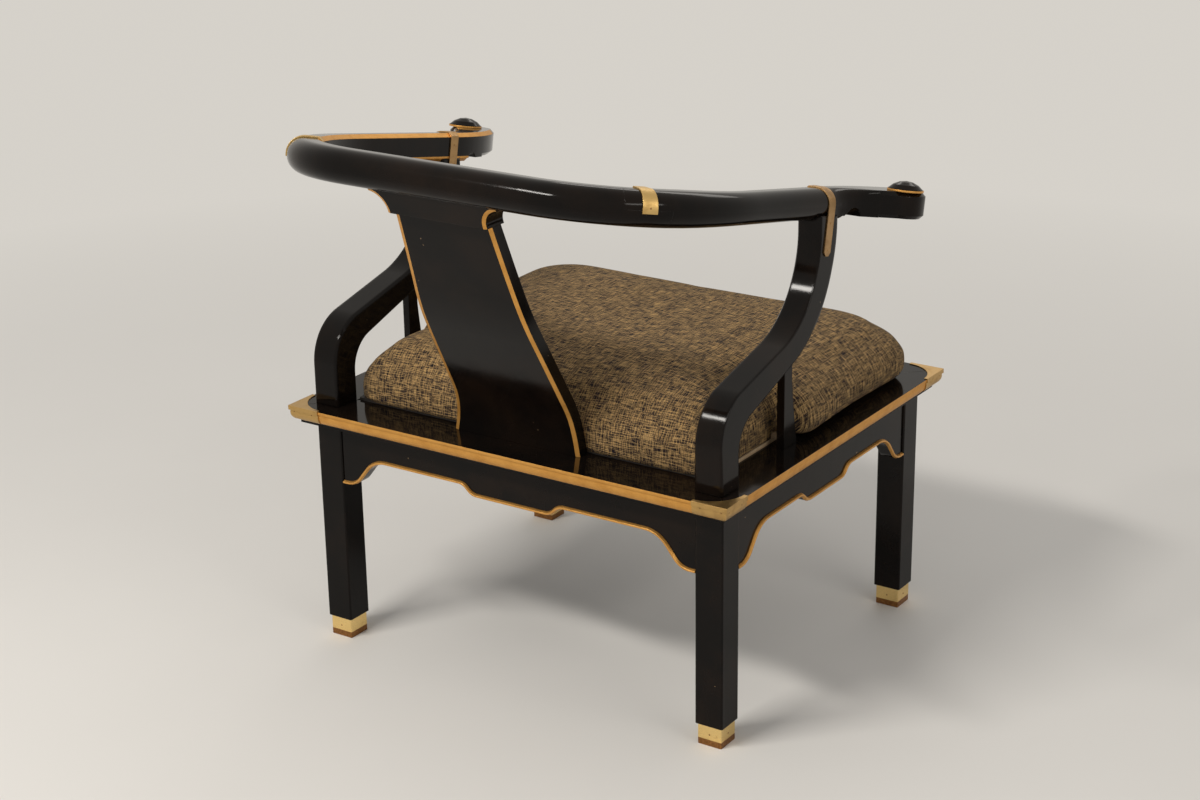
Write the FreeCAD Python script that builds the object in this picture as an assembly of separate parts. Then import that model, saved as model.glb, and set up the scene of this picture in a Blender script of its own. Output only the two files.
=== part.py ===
import FreeCAD, Part
import os
from math import acos, atan, cos, degrees, radians, sin, sqrt, tan

V = FreeCAD.Vector
os.makedirs("parts", exist_ok=True)

# Low horseshoe back armchair. Millimetres, +Z up, the sitter looks along -Y, the sitter's left is +X.
# Places are worked out about the middle of the seat frame, and the last step moves every piece so that
# the whole chair stands centred on the origin.

# Seat frame: four mitred planks with a moulded outer edge and a rebate for the seat board
frame_width = 710.0
frame_depth = 611.0
seat_height = 358.0
frame_thickness = 25.0
side_plank = 76.0
cross_plank = 80.5
rebate_width = 10.0
rebate_depth = 8.5
lip_height = 4.0
lip_step = 2.4
band_inset = 6.5
band_drop = 19.0
ovolo_depth = 2.3
quirk_width = 1.6
cove_inset = 10.5
cove_depth = 1.2
spline_thickness = 3.0
spline_length = 50.0
spline_width = 26.0
spline_middle = 46.0

# Legs, with a shouldered foot for the brass ferrule and a tenon up into the frame
leg_size = 41.5
leg_inset_x = 23.0
leg_inset_y = 30.5
leg_edge_width = 1.6
ferrule_step = 2.9
ferrule_height = 30.0
ferrule_wall = 1.4
ferrule_edge_radius = 1.0
leg_tenon_width = 24.0
leg_tenon_height = 9.0

# Aprons with a cusped lower edge and a round bead let into the arris
apron_thickness = 20.0
apron_setback = 3.0
apron_flat_drop = 44.0
apron_centre_drop = 58.0
apron_foot_drop = 87.0
apron_foot_length = 22.0
apron_bracket_run = 34.0
apron_step_run = 14.0
apron_centre_share = 0.22
foot_radius = 30.0
bracket_radius = 42.0
step_radius = 20.0
bead_radius = 2.8
bead_height = 3.5
bead_crown_share = 0.4
tongue_depth = 8.0
tongue_thickness = 8.0
tongue_shoulder = 6.0

# Corner blocks under the frame
block_height = 38.0
block_reach = 85.0

# Seat board, dust cover and cushion
board_thickness = 12.0
board_clearance = 1.0
board_corner = 4.0
cover_thickness = 0.8
cover_clearance = 4.0
cushion_height = 97.0
cushion_front_margin = 22.0
cushion_side_margin = 22.0
cushion_post_gap = 4.0
cushion_rear_gap = 2.5
cushion_strut_gap = 6.0
cushion_corner = 62.0
cushion_rear_corner = 26.0
cushion_notch_corner = 20.0
cushion_draw_depth = 4.0
cushion_rise_shares = (0.0, 0.12, 0.36, 0.58, 0.78, 0.93, 1.0)
cushion_inset_shares = (0.06, 0.005, 0.0, 0.06, 0.2, 0.48, 0.86)
cushion_crown_share = 0.49
cushion_notch_share = 0.2
cushion_corner_share = 0.15
cushion_merge_share = 0.85
cushion_corner_spans = 6
cushion_rear_corner_spans = 4
cushion_notch_spans = 3
cushion_side_spans = 2
cushion_cross_spans = 4

# Crest rail: one flat curve that rises to the back, in three lapped lengths
rail_over_seat = 312.5
rail_rise_share = 0.2
rail_back_out = 113.5
rail_shoulder_radius = 152.8
rail_shoulder_angle = 66.6
rail_side_radius = 374.6
rail_back_width = 44.0
rail_back_height = 45.0
rail_arm_width = 36.0
rail_arm_height = 41.0
rail_chamfer = 5.5
rail_under_chamfer = 5.0
rail_outer_flat = 1.0
rail_span_count = 7
lap_middle_angle = 55.0
lap_half_angle = 10.5

# Arm ends: a flare, a step under the arm with a scallop, a broad round end and a domed button
flare_length = 67.0
flare_inner_width = 9.0
flare_outer_width = 28.0
flare_edge_radius = 5.0
flare_station_count = 7
terminal_rise = 5.0
terminal_step_ahead = 20.0
scallop_radius = 11.0
scallop_depth = 7.5
scallop_ahead = 3.0
bulb_radius = 32.0
bulb_out = 50.7
bulb_ahead = 121.0
bulb_edge_width = 5.0
button_radius = 24.0
button_height = 11.0
button_cone_count = 3
button_out = 59.0
button_ahead = 113.0
ring_height = 2.6
ring_overhang = 0.6

# Splat: a leaning S-shaped board under a bracketed collar of the crest rail
splat_thickness = 20.5
splat_base_inset = 49.5
splat_base_rise = 44.0
splat_bend_height = 202.0
splat_bend_out = 89.0
splat_lean_share = 0.37
splat_base_radius = 120.0
splat_bend_radius = 420.0
bevel_width = 6.0
bevel_depth = 1.8
collar_bevel_width = 4.5
splat_tenon_thickness = 10.0
splat_tenon_depth = 18.0
splat_shoulder = 12.0
splat_height = 420.0
splat_height_shares = (0.0, 0.07, 0.19, 0.34, 0.465, 0.62, 0.75, 0.82, 1.0)
splat_base_half = 102.0
splat_half_shares = (1.0, 0.955, 0.914, 0.882, 0.848, 0.79, 0.752, 0.734, 0.734)
collar_half = 76.5
collar_top_half = 98.5
collar_drop = 28.0
collar_back = 11.0
collar_front = 3.0
collar_height = 343.5

# Curved posts over the back legs, and the slim struts before them
post_run_height = 112.5
post_run_share = 0.245
post_base_out = 2.0
post_front_run_height = 77.5
post_front_run_share = 0.327
post_reach = 258.5
post_top_depth = 43.5
post_back_radius = 68.0
post_back_upper_radius = 130.0
post_front_radius = 48.0
post_front_upper_radius = 172.0
post_taper_height = 222.0
post_edge_width = 2.6
post_tenon_length = 22.0
post_tenon_width = 12.0
post_tenon_depth = 12.0
post_cope_height = 7.0
post_peg_width = 16.0
post_peg_height = 9.5
strut_thickness = 11.0
strut_shift = 2.0
strut_ahead = 141.5
strut_foot_depth = 35.0
strut_top_depth = 20.0
strut_waist_height = 95.0
strut_hollow_depth = 1.5
strut_tenon_thickness = 6.0
strut_tenon_depth = 8.0
strut_tenon_shoulder = 5.0

# Brass: corner brackets, lap straps and arm straps
brass_thickness = 1.2
strap_thickness = 1.8
corner_length = 51.0
corner_hollow = 46.5
strap_width = 17.0
lap_strap_end = 4.0
arm_strap_behind = 17.0
arm_tail_length = 67.0
tail_tip_length = 5.0

overrun = 2.0
fine = 0.01
half = 0.5


# Small tools for outlines and solids

def rounded(points, radii):
    """Edges through the points, with a tangent arc of the given radius at each inner point."""
    edges = []
    start = points[0]
    for i in range(1, len(points) - 1):
        corner = points[i]
        back = (points[i - 1] - corner).normalize()
        ahead = (points[i + 1] - corner).normalize()
        half_angle = acos(max(-1, min(1, back.dot(ahead)))) / 2
        reach = radii[i - 1] / tan(half_angle)
        middle = (back + ahead).normalize() * (radii[i - 1] / sin(half_angle) - radii[i - 1])
        first = corner + back * reach
        last = corner + ahead * reach
        edges.append(Part.makeLine(start, first))
        edges.append(Part.Arc(first, corner + middle, last).toShape())
        start = last
    edges.append(Part.makeLine(start, points[-1]))
    return edges


def closed(points):
    """A closed wire of straight edges."""
    return Part.makePolygon(points + [points[0]])


def prism(wire, direction):
    return Part.Face(wire).extrude(direction)


def block(low, high):
    size = high - low
    return Part.makeBox(size.x, size.y, size.z, low)


def mirrored(shape):
    """The same piece on the other side of the chair."""
    return shape.mirror(V(0, 0, 0), V(1, 0, 0))


def four_corners(shape):
    """A piece made at the back left corner, and its three mirror images."""
    front = shape.mirror(V(0, 0, 0), V(0, 1, 0))
    return {"rear_left": shape, "rear_right": mirrored(shape),
            "front_left": front, "front_right": mirrored(front)}


def arc(first, middle, last):
    return Part.Arc(first, middle, last).toShape()


# Places that several pieces share

half_width = frame_width * half
half_depth = frame_depth * half
frame_under = seat_height - frame_thickness
leg_out_x = half_width - leg_inset_x
leg_in_x = leg_out_x - leg_size
leg_out_y = half_depth - leg_inset_y
leg_in_y = leg_out_y - leg_size
rebate_x = half_width - side_plank + rebate_width
rebate_y = half_depth - cross_plank + rebate_width
opening_x = half_width - side_plank
opening_y = half_depth - cross_plank
board_top = seat_height - rebate_depth + board_thickness
board_under = seat_height - rebate_depth
board_x = rebate_x - board_clearance
board_y = rebate_y - board_clearance

splat_base_back = half_depth - splat_base_inset
splat_bend_back = splat_base_back + splat_bend_out
post_front_top = leg_in_y - post_reach
post_back_top = post_front_top + post_top_depth
strut_back = leg_in_y - strut_ahead

rail_plane_height = seat_height + rail_over_seat
rail_back = half_depth + rail_back_out
rail_tilt = atan(rail_rise_share)
shoulder_turn = radians(rail_shoulder_angle)
arm_x = leg_in_x + rail_arm_width * half
arm_end = post_front_top
shoulder_centre_y = rail_back - rail_shoulder_radius
side_centre_x = arm_x - rail_side_radius
rail_back_half = side_centre_x + (rail_side_radius - rail_shoulder_radius) * sin(shoulder_turn)
side_centre_y = shoulder_centre_y + (rail_shoulder_radius - rail_side_radius) * cos(shoulder_turn)
rail_place = FreeCAD.Placement(V(0, 0, rail_plane_height), FreeCAD.Rotation(V(1, 0, 0), degrees(rail_tilt)))

back_round = (rail_back_height - rail_outer_flat) * half
rear_reach = (rail_back + rail_back_width * half - back_round) * cos(rail_tilt) + back_round
front_reach = half_depth + brass_thickness
centre_y = (rear_reach - front_reach) * half


def emit(name, shape):
    """Moves a finished piece to the chair's own origin and writes it."""
    done = shape.removeSplitter()
    done.translate(V(0, -centre_y, 0))
    if not done.isValid() or len(done.Solids) == 0:
        print("check", name, "valid", done.isValid(), "solids", len(done.Solids))
    done.exportStep("parts/" + name + ".step")
    print(name, "solids", len(done.Solids), "volume", round(done.Volume))


# Seat frame

def moulding(grow):
    """Points of the moulded edge from the top arris down, inward distance and drop."""
    lip_top = (-grow, grow)
    lip_low = (-grow, -lip_height - grow)
    step = (lip_step - grow, -lip_height - grow)
    band = (band_inset - grow, -band_drop)
    run = (band[0] - step[0], band[1] - step[1])
    length = sqrt(run[0] ** 2 + run[1] ** 2)
    swell = ((step[0] + band[0]) * half + run[1] / length * ovolo_depth,
             (step[1] + band[1]) * half - run[0] / length * ovolo_depth)
    return lip_top, lip_low, step, swell, band


def plank_wire(place, width, grow):
    """Closed section of a frame plank. Place turns inward distance and drop into a point."""
    top, low, step, swell, band = [place(p) for p in moulding(grow)]
    cove_top = (band_inset + quirk_width, -band_drop)
    cove_end = (cove_inset, -frame_thickness)
    hollow = ((cove_top[0] + cove_end[0]) * half + cove_depth,
              (cove_top[1] + cove_end[1]) * half + cove_depth * half)
    inner = [(width, -frame_thickness), (width, -rebate_depth), (width - rebate_width, -rebate_depth),
             (width - rebate_width, 0)]
    edges = [Part.makeLine(top, low), Part.makeLine(low, step), arc(step, swell, band),
             Part.makeLine(band, place(cove_top)), arc(place(cove_top), place(hollow), place(cove_end))]
    corner = place(cove_end)
    for p in inner:
        edges.append(Part.makeLine(corner, place(p)))
        corner = place(p)
    edges.append(Part.makeLine(corner, top))
    return Part.Wire(edges)


def rear_plank():
    """Back plank, cut to its mitres."""
    section = plank_wire(lambda p: V(-half_width, half_depth - p[0], seat_height + p[1]), cross_plank, 0)
    stick = prism(section, V(frame_width, 0, 0))
    corner = V(half_width, half_depth, 0)
    mitre = corner - V(side_plank, side_plank, 0)
    inner = V(mitre.x, half_depth - cross_plank, 0)
    outline = [corner, mitre, inner, V(-inner.x, inner.y, 0), V(-mitre.x, mitre.y, 0), V(-corner.x, corner.y, 0)]
    return stick.common(prism(closed(outline), V(0, 0, seat_height)))


def left_plank():
    """Side plank on the sitter's left, cut to its mitres."""
    section = plank_wire(lambda p: V(half_width - p[0], -half_depth, seat_height + p[1]), side_plank, 0)
    stick = prism(section, V(0, frame_depth, 0))
    corner = V(half_width, half_depth, 0)
    mitre = corner - V(side_plank, side_plank, 0)
    outline = [corner, mitre, V(mitre.x, -mitre.y, 0), V(corner.x, -corner.y, 0)]
    return stick.common(prism(closed(outline), V(0, 0, seat_height)))


def mitre_spline():
    """Loose tongue across the back left mitre, flat in the middle of the planks."""
    low = V(-spline_length * half, -spline_width * half, -spline_thickness * half)
    tongue = block(low, V(-low.x, -low.y, -low.z))
    middle = V(half_width - spline_middle, half_depth - spline_middle, seat_height - frame_thickness * half)
    tongue.Placement = FreeCAD.Placement(middle, FreeCAD.Rotation(V(0, 0, 1), 45))
    return tongue


# Legs and ferrules

def leg():
    """Back left leg: shaft, shouldered foot and the tenon into the frame."""
    shaft = block(V(leg_in_x, leg_in_y, ferrule_height), V(leg_out_x, leg_out_y, frame_under))
    uprights = [e for e in shaft.Edges if abs(e.tangentAt(e.FirstParameter).z) > half]
    shaft = shaft.makeChamfer(leg_edge_width, uprights)
    inset = ferrule_step + ferrule_wall
    foot = block(V(leg_in_x + inset, leg_in_y + inset, ferrule_wall),
                 V(leg_out_x - inset, leg_out_y - inset, ferrule_height))
    tenon_inset = (leg_size - leg_tenon_width) * half
    tenon_low = V(leg_in_x + tenon_inset, leg_in_y + tenon_inset, frame_under)
    tenon = block(tenon_low, tenon_low + V(leg_tenon_width, leg_tenon_width, leg_tenon_height))
    return shaft.fuse([foot, tenon]), tenon


def ferrule():
    """Brass cup that covers the foot."""
    low = V(leg_in_x + ferrule_step, leg_in_y + ferrule_step, 0)
    high = V(leg_out_x - ferrule_step, leg_out_y - ferrule_step, ferrule_height)
    cup = block(low, high)
    uprights = [e for e in cup.Edges if abs(e.tangentAt(e.FirstParameter).z) > half]
    cup = cup.makeFillet(ferrule_edge_radius, uprights)
    wall = V(ferrule_wall, ferrule_wall, ferrule_wall)
    hollow = block(low + wall, V(high.x - ferrule_wall, high.y - ferrule_wall, high.z + overrun))
    return cup.cut(hollow)


# Aprons and beads

def apron_path(span, place, lower):
    """Edges of the cusped line from leg to leg. Place turns distance along and height into a point."""
    step = span * apron_centre_share
    foot = span - apron_foot_length
    right = [(step, apron_centre_drop), (step + apron_step_run, apron_flat_drop),
             (foot - apron_bracket_run, apron_flat_drop), (foot, apron_foot_drop), (span, apron_foot_drop)]
    radii = [step_radius, step_radius, bracket_radius, foot_radius]
    left = [(-a, d) for a, d in reversed(right)]
    points = [place(a, frame_under - d - lower) for a, d in left + right]
    return rounded(points, list(reversed(radii)) + radii)


def laid_bead(edges, inward):
    """Strip with eased sides on the apron's face, straight or turned with each edge of its line."""
    pieces = []
    for edge in edges:
        start = edge.valueAt(edge.FirstParameter)
        along = edge.tangentAt(edge.FirstParameter)
        side = along.cross(inward)
        crown = inward * -bead_height
        wide = side * bead_radius
        narrow = side * (bead_radius * bead_crown_share)
        section = closed([start + wide, start + narrow + crown, start - narrow + crown, start - wide])
        if edge.Curve.TypeId == "Part::GeomLine":
            pieces.append(prism(section, edge.valueAt(edge.LastParameter) - start))
        else:
            turn = degrees(edge.LastParameter - edge.FirstParameter)
            pieces.append(Part.Face(section).revolve(edge.Curve.Center, edge.Curve.Axis, turn))
    return pieces[0].fuse(pieces[1:])


def apron(span, place, inward):
    """Board with its two tongues, and the bead along its lower edge, between two legs."""
    edges = apron_path(span, place, bead_radius)
    start = place(-span, frame_under - apron_foot_drop - bead_radius)
    finish = place(span, frame_under - apron_foot_drop - bead_radius)
    top = [place(span, frame_under), place(-span, frame_under)]
    rim = [Part.makeLine(finish, top[0]), Part.makeLine(top[0], top[1]), Part.makeLine(top[1], start)]
    board = prism(Part.Wire(edges + rim), inward * apron_thickness)
    bead = laid_bead(apron_path(span, place, 0), inward)
    tongues = []
    for side in (-1, 1):
        low = place(side * (span + tongue_depth), frame_under - apron_foot_drop + tongue_shoulder)
        high = place(side * span, frame_under - tongue_shoulder)
        near = inward * ((apron_thickness - tongue_thickness) * half)
        far = inward * ((apron_thickness + tongue_thickness) * half)
        corners = [low + near, high + near, low + far, high + far]
        lowest = V(min(c.x for c in corners), min(c.y for c in corners), min(c.z for c in corners))
        highest = V(max(c.x for c in corners), max(c.y for c in corners), max(c.z for c in corners))
        tongues.append(block(lowest, highest))
    return board.fuse(tongues), bead, tongues


# Corner blocks, seat board, dust cover

def corner_block():
    """Back left block, notched round the leg and cut across inside."""
    side_in = leg_out_x - apron_setback - apron_thickness
    rear_in = leg_out_y - apron_setback - apron_thickness
    outline = [V(leg_in_x - block_reach, rear_in, 0), V(leg_in_x, rear_in, 0), V(leg_in_x, leg_in_y, 0),
               V(side_in, leg_in_y, 0), V(side_in, leg_in_y - block_reach, 0)]
    body = prism(closed(outline), V(0, 0, block_height))
    body.translate(V(0, 0, frame_under - block_height))
    return body


def seat_board():
    board = block(V(-board_x, -board_y, board_under), V(board_x, board_y, board_top))
    uprights = [e for e in board.Edges if abs(e.tangentAt(e.FirstParameter).z) > half]
    return board.makeFillet(board_corner, uprights)


def dust_cover():
    x = opening_x - cover_clearance
    y = opening_y - cover_clearance
    return block(V(-x, -y, board_under - cover_thickness), V(x, y, board_under))


# Cushion: levels that round under, swell, draw in at the top and close over the crown

def cushion_level(rise_share, inset_share):
    """Closed outline at one height: drawn in, corners round, notched at the struts and less so higher up."""
    z = board_top + cushion_height * rise_share
    inset = half_depth * cushion_crown_share * inset_share
    ease = 1 - cushion_merge_share * rise_share ** 3
    narrow = leg_in_x - cushion_post_gap - inset
    wide = narrow + (half_width - cushion_side_margin - leg_in_x + cushion_post_gap) * ease
    rear = splat_base_back - splat_thickness - cushion_rear_gap - inset
    front = -(half_depth - cushion_front_margin - inset)
    notch = strut_back - strut_foot_depth - cushion_strut_gap - inset * cushion_notch_share
    corner = cushion_corner - inset * cushion_corner_share
    draw = cushion_draw_depth
    small = cushion_rear_corner
    turn = cushion_notch_corner * ease
    slant = 1 - sqrt(half)
    right = (
        chords(V(wide - corner, front, z), V(wide - corner * slant, front + corner * slant, z),
               V(wide, front + corner, z), cushion_corner_spans)
        + chords(V(wide, front + corner, z), V(wide - draw, (front + notch) * half, z),
                 V(wide, notch - turn, z), cushion_side_spans)
        + chords(V(wide, notch - turn, z), V(wide - turn * slant, notch - turn * slant, z),
                 V(wide - turn, notch, z), cushion_notch_spans)
        + [Part.makeLine(V(wide - turn, notch, z), V(narrow, notch, z))]
        + chords(V(narrow, notch, z), V(narrow - draw * half, (notch + rear) * half, z),
                 V(narrow, rear - small, z), cushion_side_spans)
        + chords(V(narrow, rear - small, z), V(narrow - small * slant, rear - small * slant, z),
                 V(narrow - small, rear, z), cushion_rear_corner_spans))
    left = [mirrored(e) for e in right]
    back = chords(V(narrow - small, rear, z), V(0, rear - draw, z), V(small - narrow, rear, z),
                  cushion_cross_spans)
    fore = chords(V(corner - wide, front, z), V(0, front + draw, z), V(wide - corner, front, z),
                  cushion_cross_spans)
    return Part.Wire(Part.sortEdges(fore + right + back + left)[0])


def chords(first, middle, last, spans):
    """Short straight edges along an arc."""
    points = arc(first, middle, last).discretize(spans + 1)
    return [Part.makeLine(a, b) for a, b in zip(points, points[1:])]


def cushion():
    levels = []
    for rise_share, inset_share in zip(cushion_rise_shares, cushion_inset_shares):
        levels.append(cushion_level(rise_share, inset_share))
    return Part.makeLoft(levels, True, True)


# Crest rail, made flat about its own plane and then tipped

def rail_section(inner, outer, top, under, top_round, under_round, place):
    """Closed section: flat chamfered inner side, rounded outer side. Place takes outward and up."""
    points = [(inner, -under + rail_under_chamfer), (inner, top - rail_chamfer), (inner + rail_chamfer, top),
              (outer - top_round, top), (outer, top - top_round), (outer, -under + under_round),
              (outer - under_round, -under), (inner + rail_under_chamfer, -under)]
    slant = 1 - sqrt(half)
    upper = place(outer - top_round * slant, top - top_round * slant)
    lower = place(outer - under_round * slant, -under + under_round * slant)
    p = [place(a, b) for a, b in points]
    return Part.Wire([Part.makeLine(p[0], p[1]), Part.makeLine(p[1], p[2]), Part.makeLine(p[2], p[3]),
                      arc(p[3], upper, p[4]), Part.makeLine(p[4], p[5]), arc(p[5], lower, p[6]),
                      Part.makeLine(p[6], p[7]), Part.makeLine(p[7], p[0])])


def plain_section(width, height, place, grow=0.0):
    """Section of the rail at a stated width and height, made larger all round by grow."""
    side = width * half + grow
    tall = height * half + grow
    curve = (height - rail_outer_flat) * half + grow
    return rail_section(-side, side, tall, tall, curve, curve, place)


def shoulder_place(turn):
    """Place on the shoulder arc at an angle from the back."""
    return lambda a, b: V(rail_back_half + (rail_shoulder_radius + a) * sin(turn),
                          shoulder_centre_y + (rail_shoulder_radius + a) * cos(turn), b)


def side_place(turn):
    return lambda a, b: V(side_centre_x + (rail_side_radius + a) * sin(turn),
                          side_centre_y + (rail_side_radius + a) * cos(turn), b)


def shoulder(first, last, grow=0.0):
    """Part of the shoulder between two turns in degrees."""
    wire = plain_section(rail_back_width, rail_back_height, shoulder_place(radians(first)), grow)
    return Part.Face(wire).revolve(V(rail_back_half, shoulder_centre_y, 0), V(0, 0, 1), first - last)


def shoulder_sweep(first, last):
    """Part of the shoulder as a run of short straight-sided spans, which keeps its faces few."""
    stations = []
    for i in range(rail_span_count + 1):
        turn = first + (last - first) * i / rail_span_count
        stations.append(plain_section(rail_back_width, rail_back_height, shoulder_place(radians(turn))))
    return Part.makeLoft(stations, True, True)


def straight_back():
    wire = plain_section(rail_back_width, rail_back_height, lambda a, b: V(-rail_back_half, rail_back + a, b))
    return prism(wire, V(rail_back_half * 2, 0, 0))


def rail_side():
    """Side of the horseshoe, drawn down from the back's section to the arm's."""
    stations = []
    for i in range(rail_span_count):
        share = i / (rail_span_count - 1)
        turn = shoulder_turn + (radians(90) - shoulder_turn) * share
        blend = share * share * (3 - 2 * share)
        width = rail_back_width + (rail_arm_width - rail_back_width) * blend
        height = rail_back_height + (rail_arm_height - rail_back_height) * blend
        stations.append(plain_section(width, height, side_place(turn)))
    return Part.makeLoft(stations, True, True)


def straight_arm(grow=0.0, first=None, last=None):
    """Straight arm between two places along Y."""
    start = side_centre_y if first is None else first
    finish = arm_end if last is None else last
    wire = plain_section(rail_arm_width, rail_arm_height, lambda a, b: V(arm_x + a, start, b), grow)
    return prism(wire, V(0, finish - start, 0))


def flare():
    """The arm widens outward, and its round outer side sharpens to the arris of the end."""
    stations = []
    top = rail_arm_height * half
    for i in range(flare_station_count):
        share = i / (flare_station_count - 1)
        inner = -rail_arm_width * half + flare_inner_width * share ** 2
        outer = rail_arm_width * half + flare_outer_width * share ** 2
        curve = top - rail_outer_flat * half
        curve = curve + (flare_edge_radius - curve) * share
        y = arm_end - flare_length * share
        stations.append(rail_section(inner, outer, top, top, curve, curve,
                                     lambda a, b, y=y: V(arm_x + a, y, b)))
    return Part.makeLoft(stations, True, True)


def bulb_wire(z, inset):
    """Outline of the broad round end, drawn in by inset."""
    y = arm_end - flare_length
    inner = arm_x - rail_arm_width * half + flare_inner_width
    outer = arm_x + rail_arm_width * half + flare_outer_width
    centre = V(arm_x + bulb_out, arm_end - bulb_ahead, z)
    r = bulb_radius - inset
    slant = sqrt(half)
    inner_point = V(inner + inset, y, z)
    outer_point = V(outer - inset, y, z)
    neck = V(centre.x - r * 0.83, centre.y - r * 0.56, z)
    inner_mid = (inner_point + neck) * half - V(r * 0.087, r * 0.04, 0)
    front = V(centre.x, centre.y - r, z)
    front_inner = V(centre.x - r * 0.47, centre.y - r * 0.883, z)
    out = V(centre.x + r, centre.y, z)
    shoulder_point = V(centre.x + r * 0.42, centre.y + r * 0.98, z)
    return Part.Wire([
        arc(inner_point, inner_mid, neck), arc(neck, front_inner, front),
        arc(front, V(centre.x + r * slant, centre.y - r * slant, z), out),
        arc(out, V(centre.x + r * 0.86, centre.y + r * 0.6, z), shoulder_point),
        Part.makeLine(shoulder_point, outer_point), Part.makeLine(outer_point, inner_point)])


def bulb():
    """Broad end of the arm, with a chamfered rim above and below."""
    top = rail_arm_height * half
    under = -top + terminal_rise
    lower = Part.makeLoft([bulb_wire(under, bulb_edge_width), bulb_wire(under + bulb_edge_width, 0)], True, True)
    upper = Part.makeLoft([bulb_wire(top - rail_chamfer, 0), bulb_wire(top, rail_chamfer)], True, True)
    body = prism(bulb_wire(under + bulb_edge_width, 0), V(0, 0, top - rail_chamfer - under - bulb_edge_width))
    return body.fuse([lower, upper])


def left_arm():
    """Arm of the crest rail on the sitter's left, from its lap to its end."""
    lap = shoulder(lap_middle_angle - lap_half_angle, lap_middle_angle + lap_half_angle)
    reach = rail_back_width + rail_shoulder_radius + rail_back_half
    lap = lap.common(block(V(0, 0, 0), V(reach, rail_back + reach, rail_back_height)))
    rest = shoulder(lap_middle_angle + lap_half_angle, rail_shoulder_angle)
    arm = lap.fuse([rest, rail_side(), straight_arm(), flare(), bulb()])
    step_low = V(0, arm_end - flare_length - bulb_ahead, -rail_arm_height)
    step_high = V(frame_width, arm_end - terminal_step_ahead, -rail_arm_height * half + terminal_rise)
    middle = V(arm_x, step_high.y - scallop_ahead - scallop_radius, step_high.z - scallop_radius)
    run = rail_arm_width * half
    scallops = [Part.makeCylinder(scallop_radius, rail_arm_width * 2, middle, V(way * run, 0, scallop_depth))
                for way in (-1, 1)]
    return arm.cut([block(step_low, step_high)] + scallops)


def crest_centre():
    """Middle of the crest rail with the lower half of each lap."""
    first = lap_middle_angle - lap_half_angle
    lap = shoulder(first, lap_middle_angle + lap_half_angle)
    reach = rail_back_width + rail_shoulder_radius + rail_back_half
    lap = lap.common(block(V(0, 0, -rail_back_height), V(reach, rail_back + reach, 0)))
    arm = shoulder_sweep(0, first)
    return straight_back().fuse([arm, lap, mirrored(arm), mirrored(lap)])


# Buttons on the arm ends

def button_ring():
    """Thin gilded seat of the button."""
    base = V(arm_x + button_out, arm_end - button_ahead, rail_arm_height * half)
    return Part.makeCylinder(button_radius + ring_overhang, ring_height, base)


def button():
    """Low turned dome, its round made of short cones."""
    base = V(arm_x + button_out, arm_end - button_ahead, rail_arm_height * half + ring_height)
    ball = (button_radius ** 2 + button_height ** 2) / (button_height * 2)
    whole = acos(1 - button_height / ball)
    points = [base]
    for i in range(button_cone_count + 1):
        turn = whole * (1 - i / button_cone_count)
        points.append(base + V(ball * sin(turn), 0, button_height - ball + ball * cos(turn)))
    return Part.Face(closed(points)).revolve(base, V(0, 0, 1), 360)


# Brass straps over the crest rail

def lap_strap():
    """Saddle over the lap, nailed at its outer end."""
    span = degrees(strap_width / rail_shoulder_radius) * half
    first = lap_middle_angle - span
    last = lap_middle_angle + span
    band = shoulder(first, last, strap_thickness).cut(shoulder(first - span, last + span))
    reach = rail_back_width + rail_shoulder_radius + rail_back_half
    return band.common(block(V(0, 0, -lap_strap_end), V(reach, rail_back + reach, rail_back_height)))


def arm_strap():
    """Band over the arm with a long tail down each side of the post."""
    y = arm_end + arm_strap_behind
    near = y - strap_width * half
    far = y + strap_width * half
    band = straight_arm(strap_thickness, far, near).cut(straight_arm(0.0, far + overrun, near - overrun))
    band = band.common(block(V(0, near, 0), V(frame_width, far, rail_arm_height)))
    cut = -arm_tail_length + tail_tip_length
    outline = [V(0, near, 0), V(0, near, cut), V(0, near + tail_tip_length, -arm_tail_length),
               V(0, far - tail_tip_length, -arm_tail_length), V(0, far, cut), V(0, far, 0)]
    tail = prism(closed(outline), V(strap_thickness, 0, 0))
    outer = tail.copy()
    outer.translate(V(arm_x + rail_arm_width * half, 0, 0))
    inner = tail.copy()
    inner.translate(V(arm_x - rail_arm_width * half - strap_thickness, 0, 0))
    return band.fuse([outer, inner])


# Splat and the collar over it

def splat_line(offset):
    """Edges of the splat's side view, from the frame up, on a line parallel to its back face."""
    top = splat_height
    points = [V(0, splat_base_back, seat_height),
              V(0, splat_base_back, seat_height + splat_base_rise),
              V(0, splat_bend_back, seat_height + splat_bend_height),
              V(0, splat_bend_back + (top - splat_bend_height) * splat_lean_share, seat_height + top)]
    moved = []
    for i, point in enumerate(points):
        before = (point - points[i - 1]).normalize() if i > 0 else V(0, 0, 1)
        after = (points[i + 1] - point).normalize() if i < len(points) - 1 else before
        normal = V(0, -(before + after).z, (before + after).y).normalize()
        share = normal.dot(V(0, -after.z, after.y))
        moved.append(point + normal * (offset / share))
    return rounded(moved, [splat_base_radius + offset, splat_bend_radius - offset])


def splat_slab(front, back, reach):
    """Slab between two lines parallel to the splat's back face, across the chair."""
    rear = splat_line(back)
    fore = splat_line(front)
    foot = Part.makeLine(rear[0].Vertexes[0].Point, fore[0].Vertexes[0].Point)
    head = Part.makeLine(rear[-1].Vertexes[-1].Point, fore[-1].Vertexes[-1].Point)
    slab = prism(Part.Wire(Part.sortEdges(rear + [head] + fore + [foot])[0]), V(reach * 2, 0, 0))
    slab.translate(V(-reach, 0, 0))
    return slab


def broad_area(shape):
    """Area of the faces that span the splat from side to side."""
    return sum(face.Area for face in shape.Faces if face.BoundBox.XLength > collar_half)


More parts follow.
